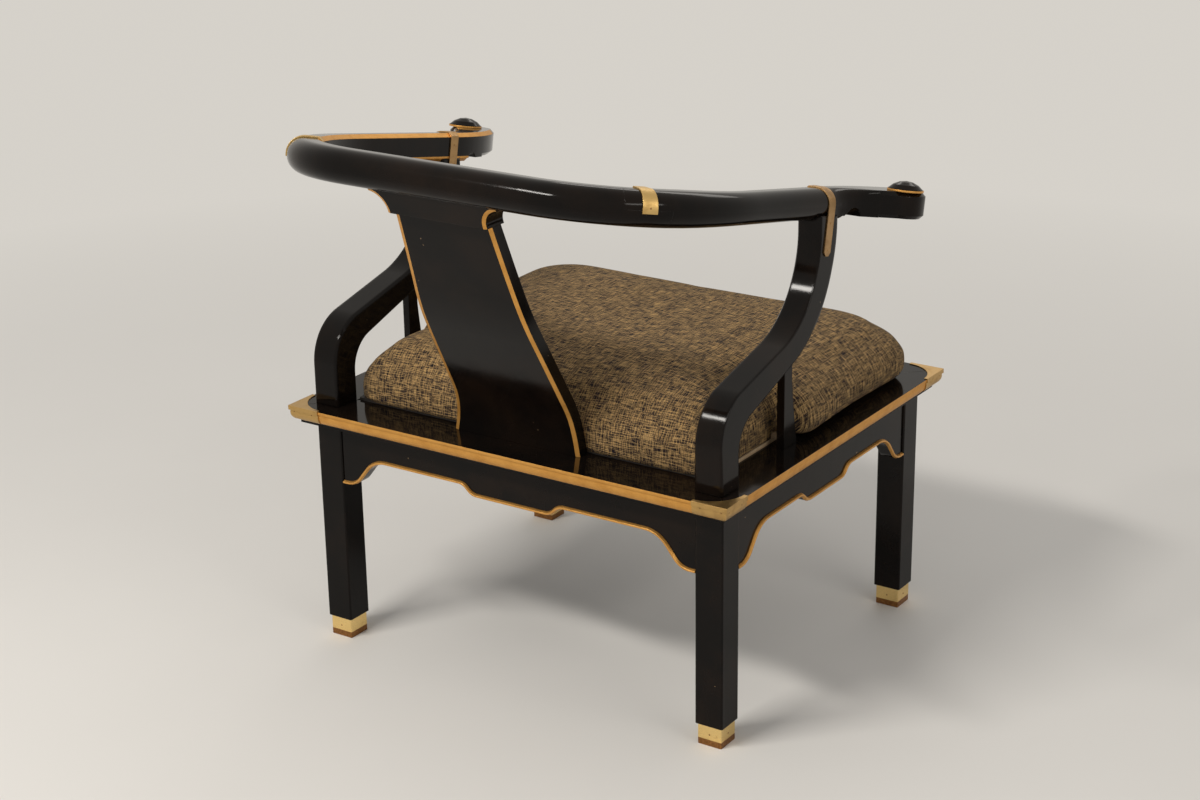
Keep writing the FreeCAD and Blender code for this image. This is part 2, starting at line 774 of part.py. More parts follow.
def beveled(shape, arrises, wide):
    """Bevels arrises, wide on the broad face and shallow on the side, whichever size comes first."""
    return min([shape.makeChamfer(wide, bevel_depth, arrises), shape.makeChamfer(bevel_depth, wide, arrises)],
               key=broad_area)


def side_arrises(shape, way, behind):
    """Long arrises of a slab on one side, behind or in front."""
    found = []
    for edge in shape.Edges:
        middle = edge.valueAt((edge.FirstParameter + edge.LastParameter) * half)
        inset = V(-way * bevel_depth, -bevel_depth, 0) * half
        if edge.BoundBox.ZLength > splat_thickness and middle.x * way > 0:
            if shape.isInside(middle + inset, fine, False) == behind:
                found.append(edge)
    return found


def splat_outline():
    """Outline of the splat seen from the front, as a prism through the chair."""
    right = [V(splat_base_half * wide, 0, seat_height + splat_height * rise)
             for wide, rise in zip(splat_half_shares, splat_height_shares)]
    left = [V(-p.x, 0, p.z) for p in reversed(right)]
    side = Part.BSplineCurve()
    side.interpolate(right)
    other = Part.BSplineCurve()
    other.interpolate(left)
    edges = [side.toShape(), Part.makeLine(right[-1], left[0]), other.toShape(), Part.makeLine(left[-1], right[0])]
    return prism(Part.Wire(edges), V(0, frame_depth, 0))


def splat():
    """Leaning board with chamfered arrises, a tenon into the frame and one into the collar."""
    body = splat_slab(splat_thickness, 0, frame_width * half).common(splat_outline())
    for way in (-1, 1):
        for behind in (True, False):
            body = beveled(body, side_arrises(body, way, behind), bevel_width)
    low = V(-frame_width, 0, seat_height)
    collar_under = seat_height + collar_height
    body = body.common(block(low, V(frame_width, frame_depth, collar_under)))
    cheek = (splat_thickness - splat_tenon_thickness) * half
    reach = splat_base_half * splat_half_shares[-1] - splat_shoulder
    head = splat_slab(cheek + splat_tenon_thickness, cheek, reach)
    head = head.common(block(V(-frame_width, 0, collar_under),
                             V(frame_width, frame_depth, collar_under + splat_tenon_depth)))
    wide = splat_base_half - splat_shoulder
    far = splat_base_back - cheek
    foot = block(V(-wide, far - splat_tenon_thickness, seat_height - splat_tenon_depth),
                 V(wide, far, seat_height))
    return body.fuse([head, foot]), head, foot


def collar():
    """Two hollow brackets under the rail, following the lean of the splat."""
    low = seat_height + collar_height
    high = low + collar_drop
    up = high + rail_back_height
    run = (collar_top_half - collar_half) * (1 - sqrt(half))
    rise = collar_drop * sqrt(half)
    foot_right = V(collar_half, 0, low)
    foot_left = V(-collar_half, 0, low)
    right = V(collar_top_half, 0, high)
    left = V(-collar_top_half, 0, high)
    top_right = V(collar_top_half, 0, up)
    top_left = V(-collar_top_half, 0, up)
    edges = [Part.makeLine(foot_left, foot_right),
             arc(foot_right, V(collar_half + run, 0, low + rise), right),
             Part.makeLine(right, top_right), Part.makeLine(top_right, top_left), Part.makeLine(top_left, left),
             arc(left, V(-collar_half - run, 0, low + rise), foot_left)]
    outline = prism(Part.Wire(edges), V(0, frame_depth, 0))
    slab = splat_slab(splat_thickness + collar_front, -collar_back, collar_top_half)
    body = slab.common(outline)
    for way in (-1, 1):
        arrises = [e for e in body.Edges if abs(e.BoundBox.ZLength - collar_drop) < fine and e.BoundBox.XLength
                   > overrun and e.BoundBox.Center.x * way > 0 and e.BoundBox.Center.y > body.BoundBox.Center.y]
        body = beveled(body, arrises, collar_bevel_width)
    return body


def tipped(shape):
    """A piece made flat about the rail's plane, tipped into place."""
    done = shape.copy()
    done.Placement = rail_place.multiply(done.Placement)
    return done


def below_rail(level):
    """Everything below a level in the rail's own plane."""
    reach = frame_width + frame_depth
    return tipped(block(V(-reach, -reach, -reach), V(reach, reach, level)))


# Posts and struts

def post_line(points, radii):
    return rounded([V(0, y, z) for y, z in points], radii)


def post_edges():
    """Back and front edges of the post's side view, both from the frame up."""
    back_foot = leg_out_y + post_base_out
    back_rise = seat_height + post_run_height
    back = [(back_foot, seat_height), (back_foot, back_rise),
            (post_back_top, back_rise + (back_foot - post_back_top) * post_run_share),
            (post_back_top, rail_plane_height)]
    front_rise = seat_height + post_front_run_height
    front = [(leg_in_y, seat_height), (leg_in_y, front_rise),
             (post_front_top, front_rise + (leg_in_y - post_front_top) * post_front_run_share),
             (post_front_top, rail_plane_height)]
    return (post_line(back, [post_back_radius, post_back_upper_radius]),
            post_line(front, [post_front_radius, post_front_upper_radius]))


def post(arm):
    """Swept post over the back left leg, coped to the arm, with its two tenons."""
    back, front = post_edges()
    base = Part.makeLine(back[0].Vertexes[0].Point, front[0].Vertexes[0].Point)
    head = Part.makeLine(back[-1].Vertexes[-1].Point, front[-1].Vertexes[-1].Point)
    inner = arm_x - rail_arm_width * half
    outer = arm_x + rail_arm_width * half
    body = prism(Part.Wire(Part.sortEdges(back + [head] + front + [base])[0]), V(leg_out_x - inner, 0, 0))
    body.translate(V(inner, 0, 0))
    arrises = [e for e in body.Edges if abs(e.BoundBox.XLength) < overrun and e.BoundBox.YLength
               + e.BoundBox.ZLength > strap_width and abs(e.BoundBox.ZMin - rail_plane_height) > overrun
               and e.BoundBox.ZMax > seat_height + overrun]
    body = body.makeChamfer(post_edge_width, arrises)
    level = seat_height + post_taper_height
    wedge = prism(closed([V(leg_out_x, -frame_depth, seat_height), V(outer, -frame_depth, level),
                          V(outer, -frame_depth, rail_plane_height), V(leg_out_x, -frame_depth, rail_plane_height)]),
                  V(0, frame_depth * 2, 0))
    body = body.cut(wedge).cut(arm).common(below_rail(post_cope_height - rail_arm_height * half))
    middle = (post_back_top + post_front_top) * half / cos(rail_tilt)
    low = V(arm_x - post_tenon_width * half, middle - post_tenon_length * half,
            -rail_arm_height * half - overrun)
    head_tenon = tipped(block(low, low + V(post_tenon_width, post_tenon_length, post_tenon_depth + overrun)))
    peg_low = V(leg_in_x + (leg_size - post_peg_width) * half, leg_in_y + (leg_size - post_peg_width) * half,
                seat_height - post_peg_height)
    peg = block(peg_low, peg_low + V(post_peg_width, post_peg_width, post_peg_height))
    return body.fuse([head_tenon, peg]), head_tenon, peg


def strut():
    """Slim strut under the post, tapered in front, with a stub tenon at each end."""
    back, front = post_edges()
    first = front[0].Vertexes[0].Point
    last = front[-1].Vertexes[-1].Point
    corner = V(0, last.y, first.z)
    rest = [Part.makeLine(last, corner), Part.makeLine(corner, first)]
    under = prism(Part.Wire(Part.sortEdges(front + rest)[0]),
                  V(frame_width, 0, 0))
    high = seat_height + post_run_height + post_front_run_height
    x = arm_x - strut_thickness * half + strut_shift
    foot = V(x, strut_back - strut_foot_depth, seat_height)
    waist = V(x, strut_back - strut_top_depth, seat_height + strut_waist_height)
    edges = [Part.makeLine(V(x, strut_back, seat_height), V(x, strut_back, high)),
             Part.makeLine(V(x, strut_back, high), V(x, waist.y, high)), Part.makeLine(V(x, waist.y, high), waist),
             arc(waist, (waist + foot) * half + V(0, strut_hollow_depth, 0), foot),
             Part.makeLine(foot, V(x, strut_back, seat_height))]
    body = prism(Part.Wire(edges), V(strut_thickness, 0, 0)).common(under)
    cheek = (strut_thickness - strut_tenon_thickness) * half
    near = V(x + cheek, waist.y + strut_tenon_shoulder, 0)
    far = V(x + cheek + strut_tenon_thickness, strut_back - strut_tenon_shoulder, 0)
    rod = block(near + V(0, 0, seat_height), far + V(0, 0, high))
    raised = under.copy()
    raised.translate(V(0, 0, strut_tenon_depth))
    head = rod.common(raised).cut(under)
    foot_tenon = block(near + V(0, 0, seat_height - strut_tenon_depth), far + V(0, 0, seat_height))
    return body.fuse([head, foot_tenon]), head, foot_tenon


# Corner brackets

def bracket_corner(grow):
    """The moulded corner down to the foot of its gilded band, made larger all round by grow."""
    top, low, step, swell, band = moulding(grow)
    inner_low = (corner_length, -band_drop)
    inner_top = (corner_length, grow)
    runs = []
    for place, way in ((lambda p: V(half_width - corner_length, half_depth - p[0], seat_height + p[1]), V(1, 0, 0)),
                       (lambda p: V(half_width - p[0], half_depth - corner_length, seat_height + p[1]), V(0, 1, 0))):
        wire = Part.Wire([Part.makeLine(place(top), place(low)), Part.makeLine(place(low), place(step)),
                          arc(place(step), place(swell), place(band)), Part.makeLine(place(band), place(inner_low)),
                          Part.makeLine(place(inner_low), place(inner_top)),
                          Part.makeLine(place(inner_top), place(top))])
        runs.append(prism(wire, way * (corner_length + grow)))
    return runs[0].common(runs[1])


def corner_bracket():
    """Brass cap over the corner, hollowed in plan."""
    centre = V(half_width - corner_length, half_depth - corner_length, seat_height)
    hollow = Part.makeCylinder(corner_hollow, brass_thickness * 2, centre)
    return bracket_corner(brass_thickness).cut([bracket_corner(0.0), hollow])


# Crest rail and what sits on it

arm_flat = left_arm()
arm_whole = tipped(arm_flat)
post_left, post_head, post_peg_shape = post(arm_whole)
strut_left, strut_head, strut_foot = strut()
splat_shape, splat_head, splat_foot = splat()

emit("crest_rail_left", arm_whole.cut(post_head))
emit("crest_rail_right", mirrored(arm_whole.cut(post_head)))
crest = tipped(crest_centre()).fuse(collar().common(below_rail(0.0)))
emit("crest_rail_center", crest.cut(splat_head))

for name, shape in (("terminal_rings", tipped(button_ring())), ("terminal_domes", tipped(button())),
                    ("scarf_straps", tipped(lap_strap()))):
    emit(name, Part.makeCompound([shape, mirrored(shape)]))
for name, shape in (("post_strap", tipped(arm_strap())), ("arm_post", post_left.cut(strut_head)),
                    ("arm_strut", strut_left)):
    emit(name + "_left", shape)
    emit(name + "_right", mirrored(shape))

emit("back_splat", splat_shape)

# Seat frame and what stands in it

leg_shape, leg_tenon_shape = leg()
leg_tenons = four_corners(leg_tenon_shape)
splines = four_corners(mitre_spline())
emit("mitre_splines", Part.makeCompound(list(splines.values())))

joints = list(leg_tenons.values()) + list(splines.values())
pegs = [post_peg_shape, mirrored(post_peg_shape)]
feet = [strut_foot, mirrored(strut_foot)]
rear_rail = rear_plank()
left_rail = left_plank()
emit("frame_rail_rear", rear_rail.cut(joints + pegs + [splat_foot]))
emit("frame_rail_front", rear_rail.mirror(V(0, 0, 0), V(0, 1, 0)).cut(joints))
emit("frame_rail_left", left_rail.cut(joints + pegs + feet))
emit("frame_rail_right", mirrored(left_rail).cut(joints + pegs + feet))

rear_apron, rear_bead, rear_tongues = apron(
    leg_in_x, lambda a, z: V(a, leg_out_y - apron_setback, z), V(0, -1, 0))
left_apron, left_bead, left_tongues = apron(
    leg_in_y, lambda a, z: V(leg_out_x - apron_setback, a, z), V(-1, 0, 0))
emit("apron_rear", rear_apron)
emit("apron_front", rear_apron.mirror(V(0, 0, 0), V(0, 1, 0)))
emit("apron_left", left_apron)
emit("apron_right", mirrored(left_apron))
emit("apron_bead_rear", rear_bead)
emit("apron_bead_front", rear_bead.mirror(V(0, 0, 0), V(0, 1, 0)))
emit("apron_bead_left", left_bead)
emit("apron_bead_right", mirrored(left_bead))

for where, shape in four_corners(leg_shape.cut(rear_tongues + left_tongues)).items():
    emit("leg_" + where, shape)
for where, shape in four_corners(ferrule()).items():
    emit("ferrule_" + where, shape)
emit("corner_brackets", Part.makeCompound(list(four_corners(corner_bracket()).values())))

for where, shape in four_corners(corner_block()).items():
    emit("corner_block_" + where, shape)
emit("seat_board", seat_board())
emit("dust_cover", dust_cover())
emit("seat_cushion", cushion())
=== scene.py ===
from math import atan, cos, pi, radians, sin

import bmesh
import bpy
from mathutils import Matrix, Vector


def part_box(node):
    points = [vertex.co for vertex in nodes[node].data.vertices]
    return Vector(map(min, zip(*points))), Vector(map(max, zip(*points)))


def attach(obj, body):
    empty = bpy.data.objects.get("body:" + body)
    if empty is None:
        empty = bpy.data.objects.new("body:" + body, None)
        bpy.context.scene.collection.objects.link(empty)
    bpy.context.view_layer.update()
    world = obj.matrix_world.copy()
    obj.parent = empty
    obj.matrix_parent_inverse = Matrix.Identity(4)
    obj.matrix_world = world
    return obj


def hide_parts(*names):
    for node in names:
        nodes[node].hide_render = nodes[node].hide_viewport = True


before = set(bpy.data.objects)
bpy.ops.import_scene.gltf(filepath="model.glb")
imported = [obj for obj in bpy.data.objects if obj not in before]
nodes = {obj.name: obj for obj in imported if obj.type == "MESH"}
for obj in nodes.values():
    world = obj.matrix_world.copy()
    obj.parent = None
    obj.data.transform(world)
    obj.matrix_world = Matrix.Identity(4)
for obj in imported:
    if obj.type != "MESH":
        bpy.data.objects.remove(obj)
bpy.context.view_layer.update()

MM = 0.001

# The middle of the seat frame lies this far in front of the row's origin, in millimetres.
CENTRE_Y = -63.08


def place(x, y, z):
    """A point about the seat frame's middle, in millimetres, as a point of the row in metres."""
    return Vector((x, y + CENTRE_Y, z)) * MM


# Sizes of the CAD source, in millimetres

FRAME_HALF_WIDTH = 355.0
FRAME_HALF_DEPTH = 305.5
FRAME_LIP = 10.5
BAND_BOTTOM = 338.95
BOARD_UNDERSIDE = 349.5
BLOCK_UNDERSIDE = 295.0
SCREW_X = 263.5
SCREW_Y = 206.5
MITRE_SLOPE = 1.059

# The crest rail is one curve in a plane that rises one in five towards the back.
TILT = atan(0.2)
RAIL_UP = (0.0, -sin(TILT), cos(TILT))
RAIL_HEIGHT = 670.5
RAIL_LEVEL = place(0, 0, RAIL_HEIGHT).dot(Vector(RAIL_UP))
RAIL_SIDE = 308.5
SIDE_RADIUS = 374.6
SHOULDER_RADIUS = 152.8
SHOULDER_TURN = radians(66.6)
RAIL_BACK = 419.0
RAIL_BACK_HALF = RAIL_SIDE - SIDE_RADIUS + (SIDE_RADIUS - SHOULDER_RADIUS) * sin(SHOULDER_TURN)


# Materials

class Paint:
    """One material and short calls for its nodes."""

    def __init__(self, name):
        self.material = bpy.data.materials.new(name)
        self.material.use_nodes = True
        self.tree = self.material.node_tree
        self.tree.nodes.clear()
        self.shader = self.add("ShaderNodeBsdfPrincipled")
        out = self.add("ShaderNodeOutputMaterial")
        self.tree.links.new(self.shader.outputs[0], out.inputs[0])
        self.geometry = self.add("ShaderNodeNewGeometry")
        self.spot = self.add("ShaderNodeTexCoord").outputs["Object"]

    def add(self, kind, **options):
        node = self.tree.nodes.new(kind)
        for key, value in options.items():
            setattr(node, key, value)
        return node

    def feed(self, socket, value):
        if isinstance(value, bpy.types.NodeSocket):
            self.tree.links.new(value, socket)
        elif isinstance(value, tuple) and len(value) == 3 and len(socket.default_value) == 4:
            socket.default_value = (*value, 1)
        else:
            socket.default_value = value

    def set(self, **values):
        for key, value in values.items():
            self.feed(self.shader.inputs[key.replace("_", " ")], value)

    def math(self, op, a, b=0.0):
        node = self.add("ShaderNodeMath", operation=op)
        self.feed(node.inputs[0], a)
        self.feed(node.inputs[1], b)
        return node.outputs[0]

    def apart(self, vector):
        node = self.add("ShaderNodeSeparateXYZ")
        self.feed(node.inputs[0], vector)
        return node.outputs

    def stretch(self, vector, scale):
        node = self.add("ShaderNodeVectorMath", operation="MULTIPLY")
        self.feed(node.inputs[0], vector)
        node.inputs[1].default_value = scale
        return node.outputs[0]

    def noise_vector(self, vector, scale):
        """Three noises about zero, one for each axis."""
        node = self.add("ShaderNodeTexNoise")
        self.feed(node.inputs["Vector"], vector)
        node.inputs["Scale"].default_value = scale
        middle = self.add("ShaderNodeVectorMath", operation="SUBTRACT")
        self.feed(middle.inputs[0], node.outputs["Color"])
        middle.inputs[1].default_value = (0.5, 0.5, 0.5)
        return middle.outputs[0]

    def gray(self, value):
        """The number as a colour."""
        node = self.add("ShaderNodeCombineXYZ")
        for socket in node.inputs:
            self.feed(socket, value)
        return node.outputs[0]

    def dot(self, vector, direction):
        node = self.add("ShaderNodeVectorMath", operation="DOT_PRODUCT")
        self.feed(node.inputs[0], vector)
        node.inputs[1].default_value = direction
        return node.outputs["Value"]

    def noise(self, vector, scale, detail=2.0, rough=0.5, twist=0.0):
        node = self.add("ShaderNodeTexNoise")
        self.feed(node.inputs["Vector"], vector)
        node.inputs["Scale"].default_value = scale
        node.inputs["Detail"].default_value = detail
        node.inputs["Roughness"].default_value = rough
        node.inputs["Distortion"].default_value = twist
        return node.outputs[0]

    def span(self, value, low, high, start=0.0, end=1.0):
        """value from low..high to start..end, held at the ends."""
        node = self.add("ShaderNodeMapRange")
        for socket, number in zip(node.inputs, (value, low, high, start, end)):
            self.feed(socket, number)
        return node.outputs[0]

    def blend(self, share, a, b, kind="MIX"):
        node = self.add("ShaderNodeMix", data_type="RGBA", blend_type=kind)
        self.feed(node.inputs[0], share)
        self.feed(node.inputs[6], a)
        self.feed(node.inputs[7], b)
        return node.outputs[2]

    def mix(self, share, a, b):
        """A number share of the way from a to b."""
        node = self.add("ShaderNodeMix", data_type="FLOAT")
        self.feed(node.inputs[0], share)
        self.feed(node.inputs[2], a)
        self.feed(node.inputs[3], b)
        return node.outputs[0]

    def between(self, value, low, high, soft):
        """1 where value is between low and high, with soft edges."""
        up = self.span(value, low - soft, low + soft)
        down = self.span(value, high - soft, high + soft, 1.0, 0.0)
        return self.math("MULTIPLY", up, down)

    def bump(self, height, strength, distance, normal=None):
        node = self.add("ShaderNodeBump")
        node.inputs["Strength"].default_value = strength
        node.inputs["Distance"].default_value = distance
        self.feed(node.inputs["Height"], height)
        if normal is not None:
            self.feed(node.inputs["Normal"], normal)
        return node.outputs[0]

    def soft_edges(self, radius):
        node = self.add("ShaderNodeBevel", samples=6)
        node.inputs["Radius"].default_value = radius
        return node.outputs[0]


LACQUER = (0.0040, 0.0030, 0.0025)
LACQUER_WARM = (0.0105, 0.0060, 0.0038)
LACQUER_GRAIN = (0.016, 0.009, 0.006)
OPEN_JOINT = (0.002, 0.0015, 0.001)
CHIP = (0.42, 0.28, 0.15)
GILT = (0.66, 0.34, 0.085)
GILT_DEEP = (0.54, 0.255, 0.055)
GILT_RUBBED = (0.20, 0.09, 0.025)


def gold_leaf(p, worn_scale, flake_scale):
    """The colour of the gilding, and the fine noise that its gloss follows."""
    worn = p.noise(p.spot, worn_scale, 4.0, 0.6)
    flake = p.noise(p.spot, flake_scale, 3.0, 0.6)
    color = p.blend(p.span(worn, 0.4, 0.8), GILT, GILT_DEEP)
    return p.blend(p.span(flake, 0.7, 0.82, 0.0, 0.4), color, GILT_RUBBED), flake


def lacquered(name, gilt=None, edge=1.6, crack=None, haze=0.12):
    """Gloss brown-black lacquer over wood. gilt gives the share of gilding, and crack a fine open
    joint. edge is the radius of the softened arrises in millimetres, haze the least roughness."""
    p = Paint(name)
    cloud = p.noise(p.spot, 9.0, 4.0, 0.6)
    grain = p.noise(p.stretch(p.spot, (1.0, 1.0, 0.12)), 190.0, 3.0, 0.6, 0.4)
    rub = p.noise(p.spot, 38.0, 5.0, 0.68)
    color = p.blend(p.span(cloud, 0.42, 0.68), LACQUER, LACQUER_WARM)
    color = p.blend(p.span(grain, 0.62, 0.8, 0.0, 0.2), color, LACQUER_GRAIN)
    speck = p.noise(p.spot, 260.0, 1.0, 0.4)
    sparse = p.noise(p.spot, 17.0, 2.0, 0.5)
    chips = p.math("MULTIPLY", p.span(speck, 0.79, 0.81), p.span(sparse, 0.6, 0.66))
    color = p.blend(chips, color, CHIP)
    smear = p.span(rub, 0.45, 0.8, haze, haze * 1.6)
    rough = p.math("ADD", smear, p.span(cloud, 0.4, 0.75, 0.0, 0.04))
    if crack is not None:
        line = crack(p)
        color = p.blend(line, color, OPEN_JOINT)
        rough = p.math("MAXIMUM", rough, p.math("MULTIPLY", line, 0.7))
    normal = p.soft_edges(edge * MM)
    wave = p.noise(p.spot, 26.0, 2.0, 0.5)
    height = p.math("ADD", wave, p.math("MULTIPLY", grain, 0.06))
    if gilt is not None:
        share = gilt(p)
        gold, flake = gold_leaf(p, 55.0, 420.0)
        color = p.blend(share, color, gold)
        p.set(Metallic=p.math("MULTIPLY", share, 0.75))
        rough = p.mix(share, rough, p.span(flake, 0.3, 0.7, 0.40, 0.52))
    p.set(Base_Color=color, Roughness=rough, Specular_IOR_Level=0.135)
    p.set(Normal=p.bump(height, 0.35, 0.00035, normal))
    return p.material


def from_centre(p):
    """How far a point lies from the seat frame's middle, to the side and to the front or back."""
    x, y, z = p.apart(p.spot)
    return p.math("ABSOLUTE", x), p.math("ABSOLUTE", p.math("ADD", y, -CENTRE_Y * MM))


def frame_gilding(p):
    """The gilded band of the seat frame's moulding: its lip and the round under it."""
    side, deep = from_centre(p)
    lip_side = (FRAME_HALF_WIDTH - FRAME_LIP) * MM
    lip_deep = (FRAME_HALF_DEPTH - FRAME_LIP) * MM
    hair = 0.0001
    past_side = p.span(side, lip_side, lip_side + hair)
    past_deep = p.span(deep, lip_deep, lip_deep + hair)
    outer = p.math("MAXIMUM", past_side, past_deep)
    high = p.span(p.apart(p.spot)[2], BAND_BOTTOM * MM - hair, BAND_BOTTOM * MM + hair)
    flat = p.span(p.apart(p.geometry.outputs["True Normal"])[2], 0.93, 0.97, 1.0, 0.0)
    return p.math("MULTIPLY", p.math("MULTIPLY", outer, high), flat)


def mitre_line(p):
    """The hair of an open joint along the mitres of the frame's top."""
    side, deep = from_centre(p)
    side = p.math("SUBTRACT", side, FRAME_HALF_WIDTH * MM)
    deep = p.math("SUBTRACT", deep, FRAME_HALF_DEPTH * MM)
    off = p.math("ABSOLUTE", p.math("SUBTRACT", p.math("MULTIPLY", side, MITRE_SLOPE), deep))
    waver = p.math("MULTIPLY", p.noise(p.spot, 60.0, 3.0), 0.0003)
    return p.span(p.math("ADD", off, waver), 0.00045, 0.0006, 1.0, 0.0)


# Where the gilt of the crest rail starts and ends, in metres. Levels are measured from the rail's
# own plane. Ahead of INSIDE_Y the inside of the rail faces straight across.
INSIDE_Y = 0.037
UPPER_GILT_ENDS = (-0.222, -0.205)
LOWER_GILT_ENDS = (-0.109, -0.107)
LOWER_STRIP = (-0.0172, -0.0126)
COLLAR_BACK_Y = 0.28
COLLAR_TOP_Z = 0.7317
COLLAR_FACE = (0.0, 0.9379, -0.347)


def rail_gilding(p):
    """The gilded inner arrises of the crest rail, above all the way round and below behind the
    posts, and the gilded bevel of the collar over the splat."""
    facing = p.geometry.outputs["True Normal"]
    nx, ny, nz = p.apart(facing)
    x, y, z = p.apart(p.spot)
    rise = p.dot(facing, RAIL_UP)
    level = p.math("SUBTRACT", p.dot(p.spot, RAIL_UP), RAIL_LEVEL)
    toward = p.math("SUBTRACT", p.math("MINIMUM", y, INSIDE_Y), y)
    inward = p.math("SUBTRACT", p.math("MULTIPLY", ny, toward), p.math("MULTIPLY", nx, x))
    inner = p.span(inward, 0.02, 0.03)
    top = p.between(rise, 0.5, 0.86, 0.02)
    upper = p.math("MULTIPLY", p.math("MULTIPLY", top, inner), p.span(y, *UPPER_GILT_ENDS))
    upper = p.math("MULTIPLY", upper, p.span(level, -0.001, 0.0))
    bottom = p.between(rise, -0.86, -0.5, 0.02)
    upright = p.between(rise, -0.5, 0.3, 0.02)
    strip = p.math("MULTIPLY", p.between(level, *LOWER_STRIP, 0.0002), upright)
    lower = p.math("MAXIMUM", bottom, p.math("MULTIPLY", strip, p.span(inward, 0.06, 0.08)))
    lower = p.math("MULTIPLY", p.math("MULTIPLY", lower, inner), p.span(y, *LOWER_GILT_ENDS))
    bevel = p.between(p.dot(facing, COLLAR_FACE), 0.88, 0.972, 0.006)
    below = p.span(z, COLLAR_TOP_Z - 0.0005, COLLAR_TOP_Z + 0.0005, 1.0, 0.0)
    collar = p.math("MULTIPLY", bevel, below)
    collar = p.math("MULTIPLY", collar, p.span(y, COLLAR_BACK_Y, COLLAR_BACK_Y + 0.001))
    return p.math("MAXIMUM", p.math("MAXIMUM", upper, lower), collar)


def splat_gilding(p):
    """The gilded chamfers of the splat's long edges."""
    sideways = p.math("ABSOLUTE", p.apart(p.geometry.outputs["True Normal"])[0])
    return p.between(sideways, 0.2, 0.5, 0.02)


def gilded(name):
    p = Paint(name)
    color, flake = gold_leaf(p, 70.0, 480.0)
    p.set(Base_Color=color, Roughness=p.span(flake, 0.3, 0.7, 0.32, 0.44))
    p.set(Metallic=0.75, Normal=p.bump(flake, 0.3, 0.0002, p.soft_edges(1.1 * MM)))
    return p.material


BRASS_SPOTS = (0.10, 0.055, 0.025)
FLOOR_REFLECTION = (0.32, 0.155, 0.055)
FLOOR_REFLECTION_DARK = (0.22, 0.10, 0.035)
FLOOR_REFLECTION_TOP = 0.009


def brass(name, shine, dull, tarnish=0.5, edge=0.6, floor_reflection=False, rough=0.2):
    """Brass, dull in clouds. With the floor flag set, a painted reflection of a brown floor browns
    the lowest centimetre, as on the chair's feet.
    """
    p = Paint(name)
    stain = p.noise(p.spot, 48.0, 5.0, 0.62, 0.3)
    fine = p.noise(p.spot, 330.0, 3.0, 0.6)
    brushed = p.noise(p.stretch(p.spot, (1.0, 1.0, 14.0)), 160.0, 2.0, 0.5)
    age = p.span(stain, 0.62 - 0.25 * tarnish, 0.86 - 0.2 * tarnish)
    color = p.blend(age, shine, dull)
    color = p.blend(p.span(fine, 0.68, 0.8, 0.0, 0.6), color, BRASS_SPOTS)
    if floor_reflection:
        # Painted reflection: the lowest centimetre takes the brown of a wooden floor mirrored in
        # the foot's lower bevel.
        z = p.apart(p.spot)[2]
        low = p.span(z, FLOOR_REFLECTION_TOP - 0.0005, FLOOR_REFLECTION_TOP + 0.0005, 1.0, 0.0)
        color = p.blend(low, color, p.blend(p.span(fine, 0.4, 0.6), FLOOR_REFLECTION, FLOOR_REFLECTION_DARK))
        age = p.math("MAXIMUM", age, p.math("MULTIPLY", low, 0.6))
    rough = p.span(age, 0.0, 1.0, rough, rough + 0.2)
    rough = p.math("ADD", rough, p.span(brushed, 0.3, 0.7, 0.0, 0.08))
    p.set(Base_Color=color, Roughness=rough, Metallic=1.0)
    p.set(Normal=p.bump(brushed, 0.25, 0.00015, p.soft_edges(edge * MM)))
    return p.material


YARN = 0.0023
WARP_TINTS = (0.006, 0.006, 0.014), (0.12, 0.082, 0.055), (0.66, 0.425, 0.175)
WEFT_TINTS = (0.006, 0.006, 0.013), (0.11, 0.074, 0.05), (0.54, 0.335, 0.13)
PATCH_BROWN = (0.11, 0.075, 0.04)
HEM_PAINTED_SHADE = (0.012, 0.009, 0.007)


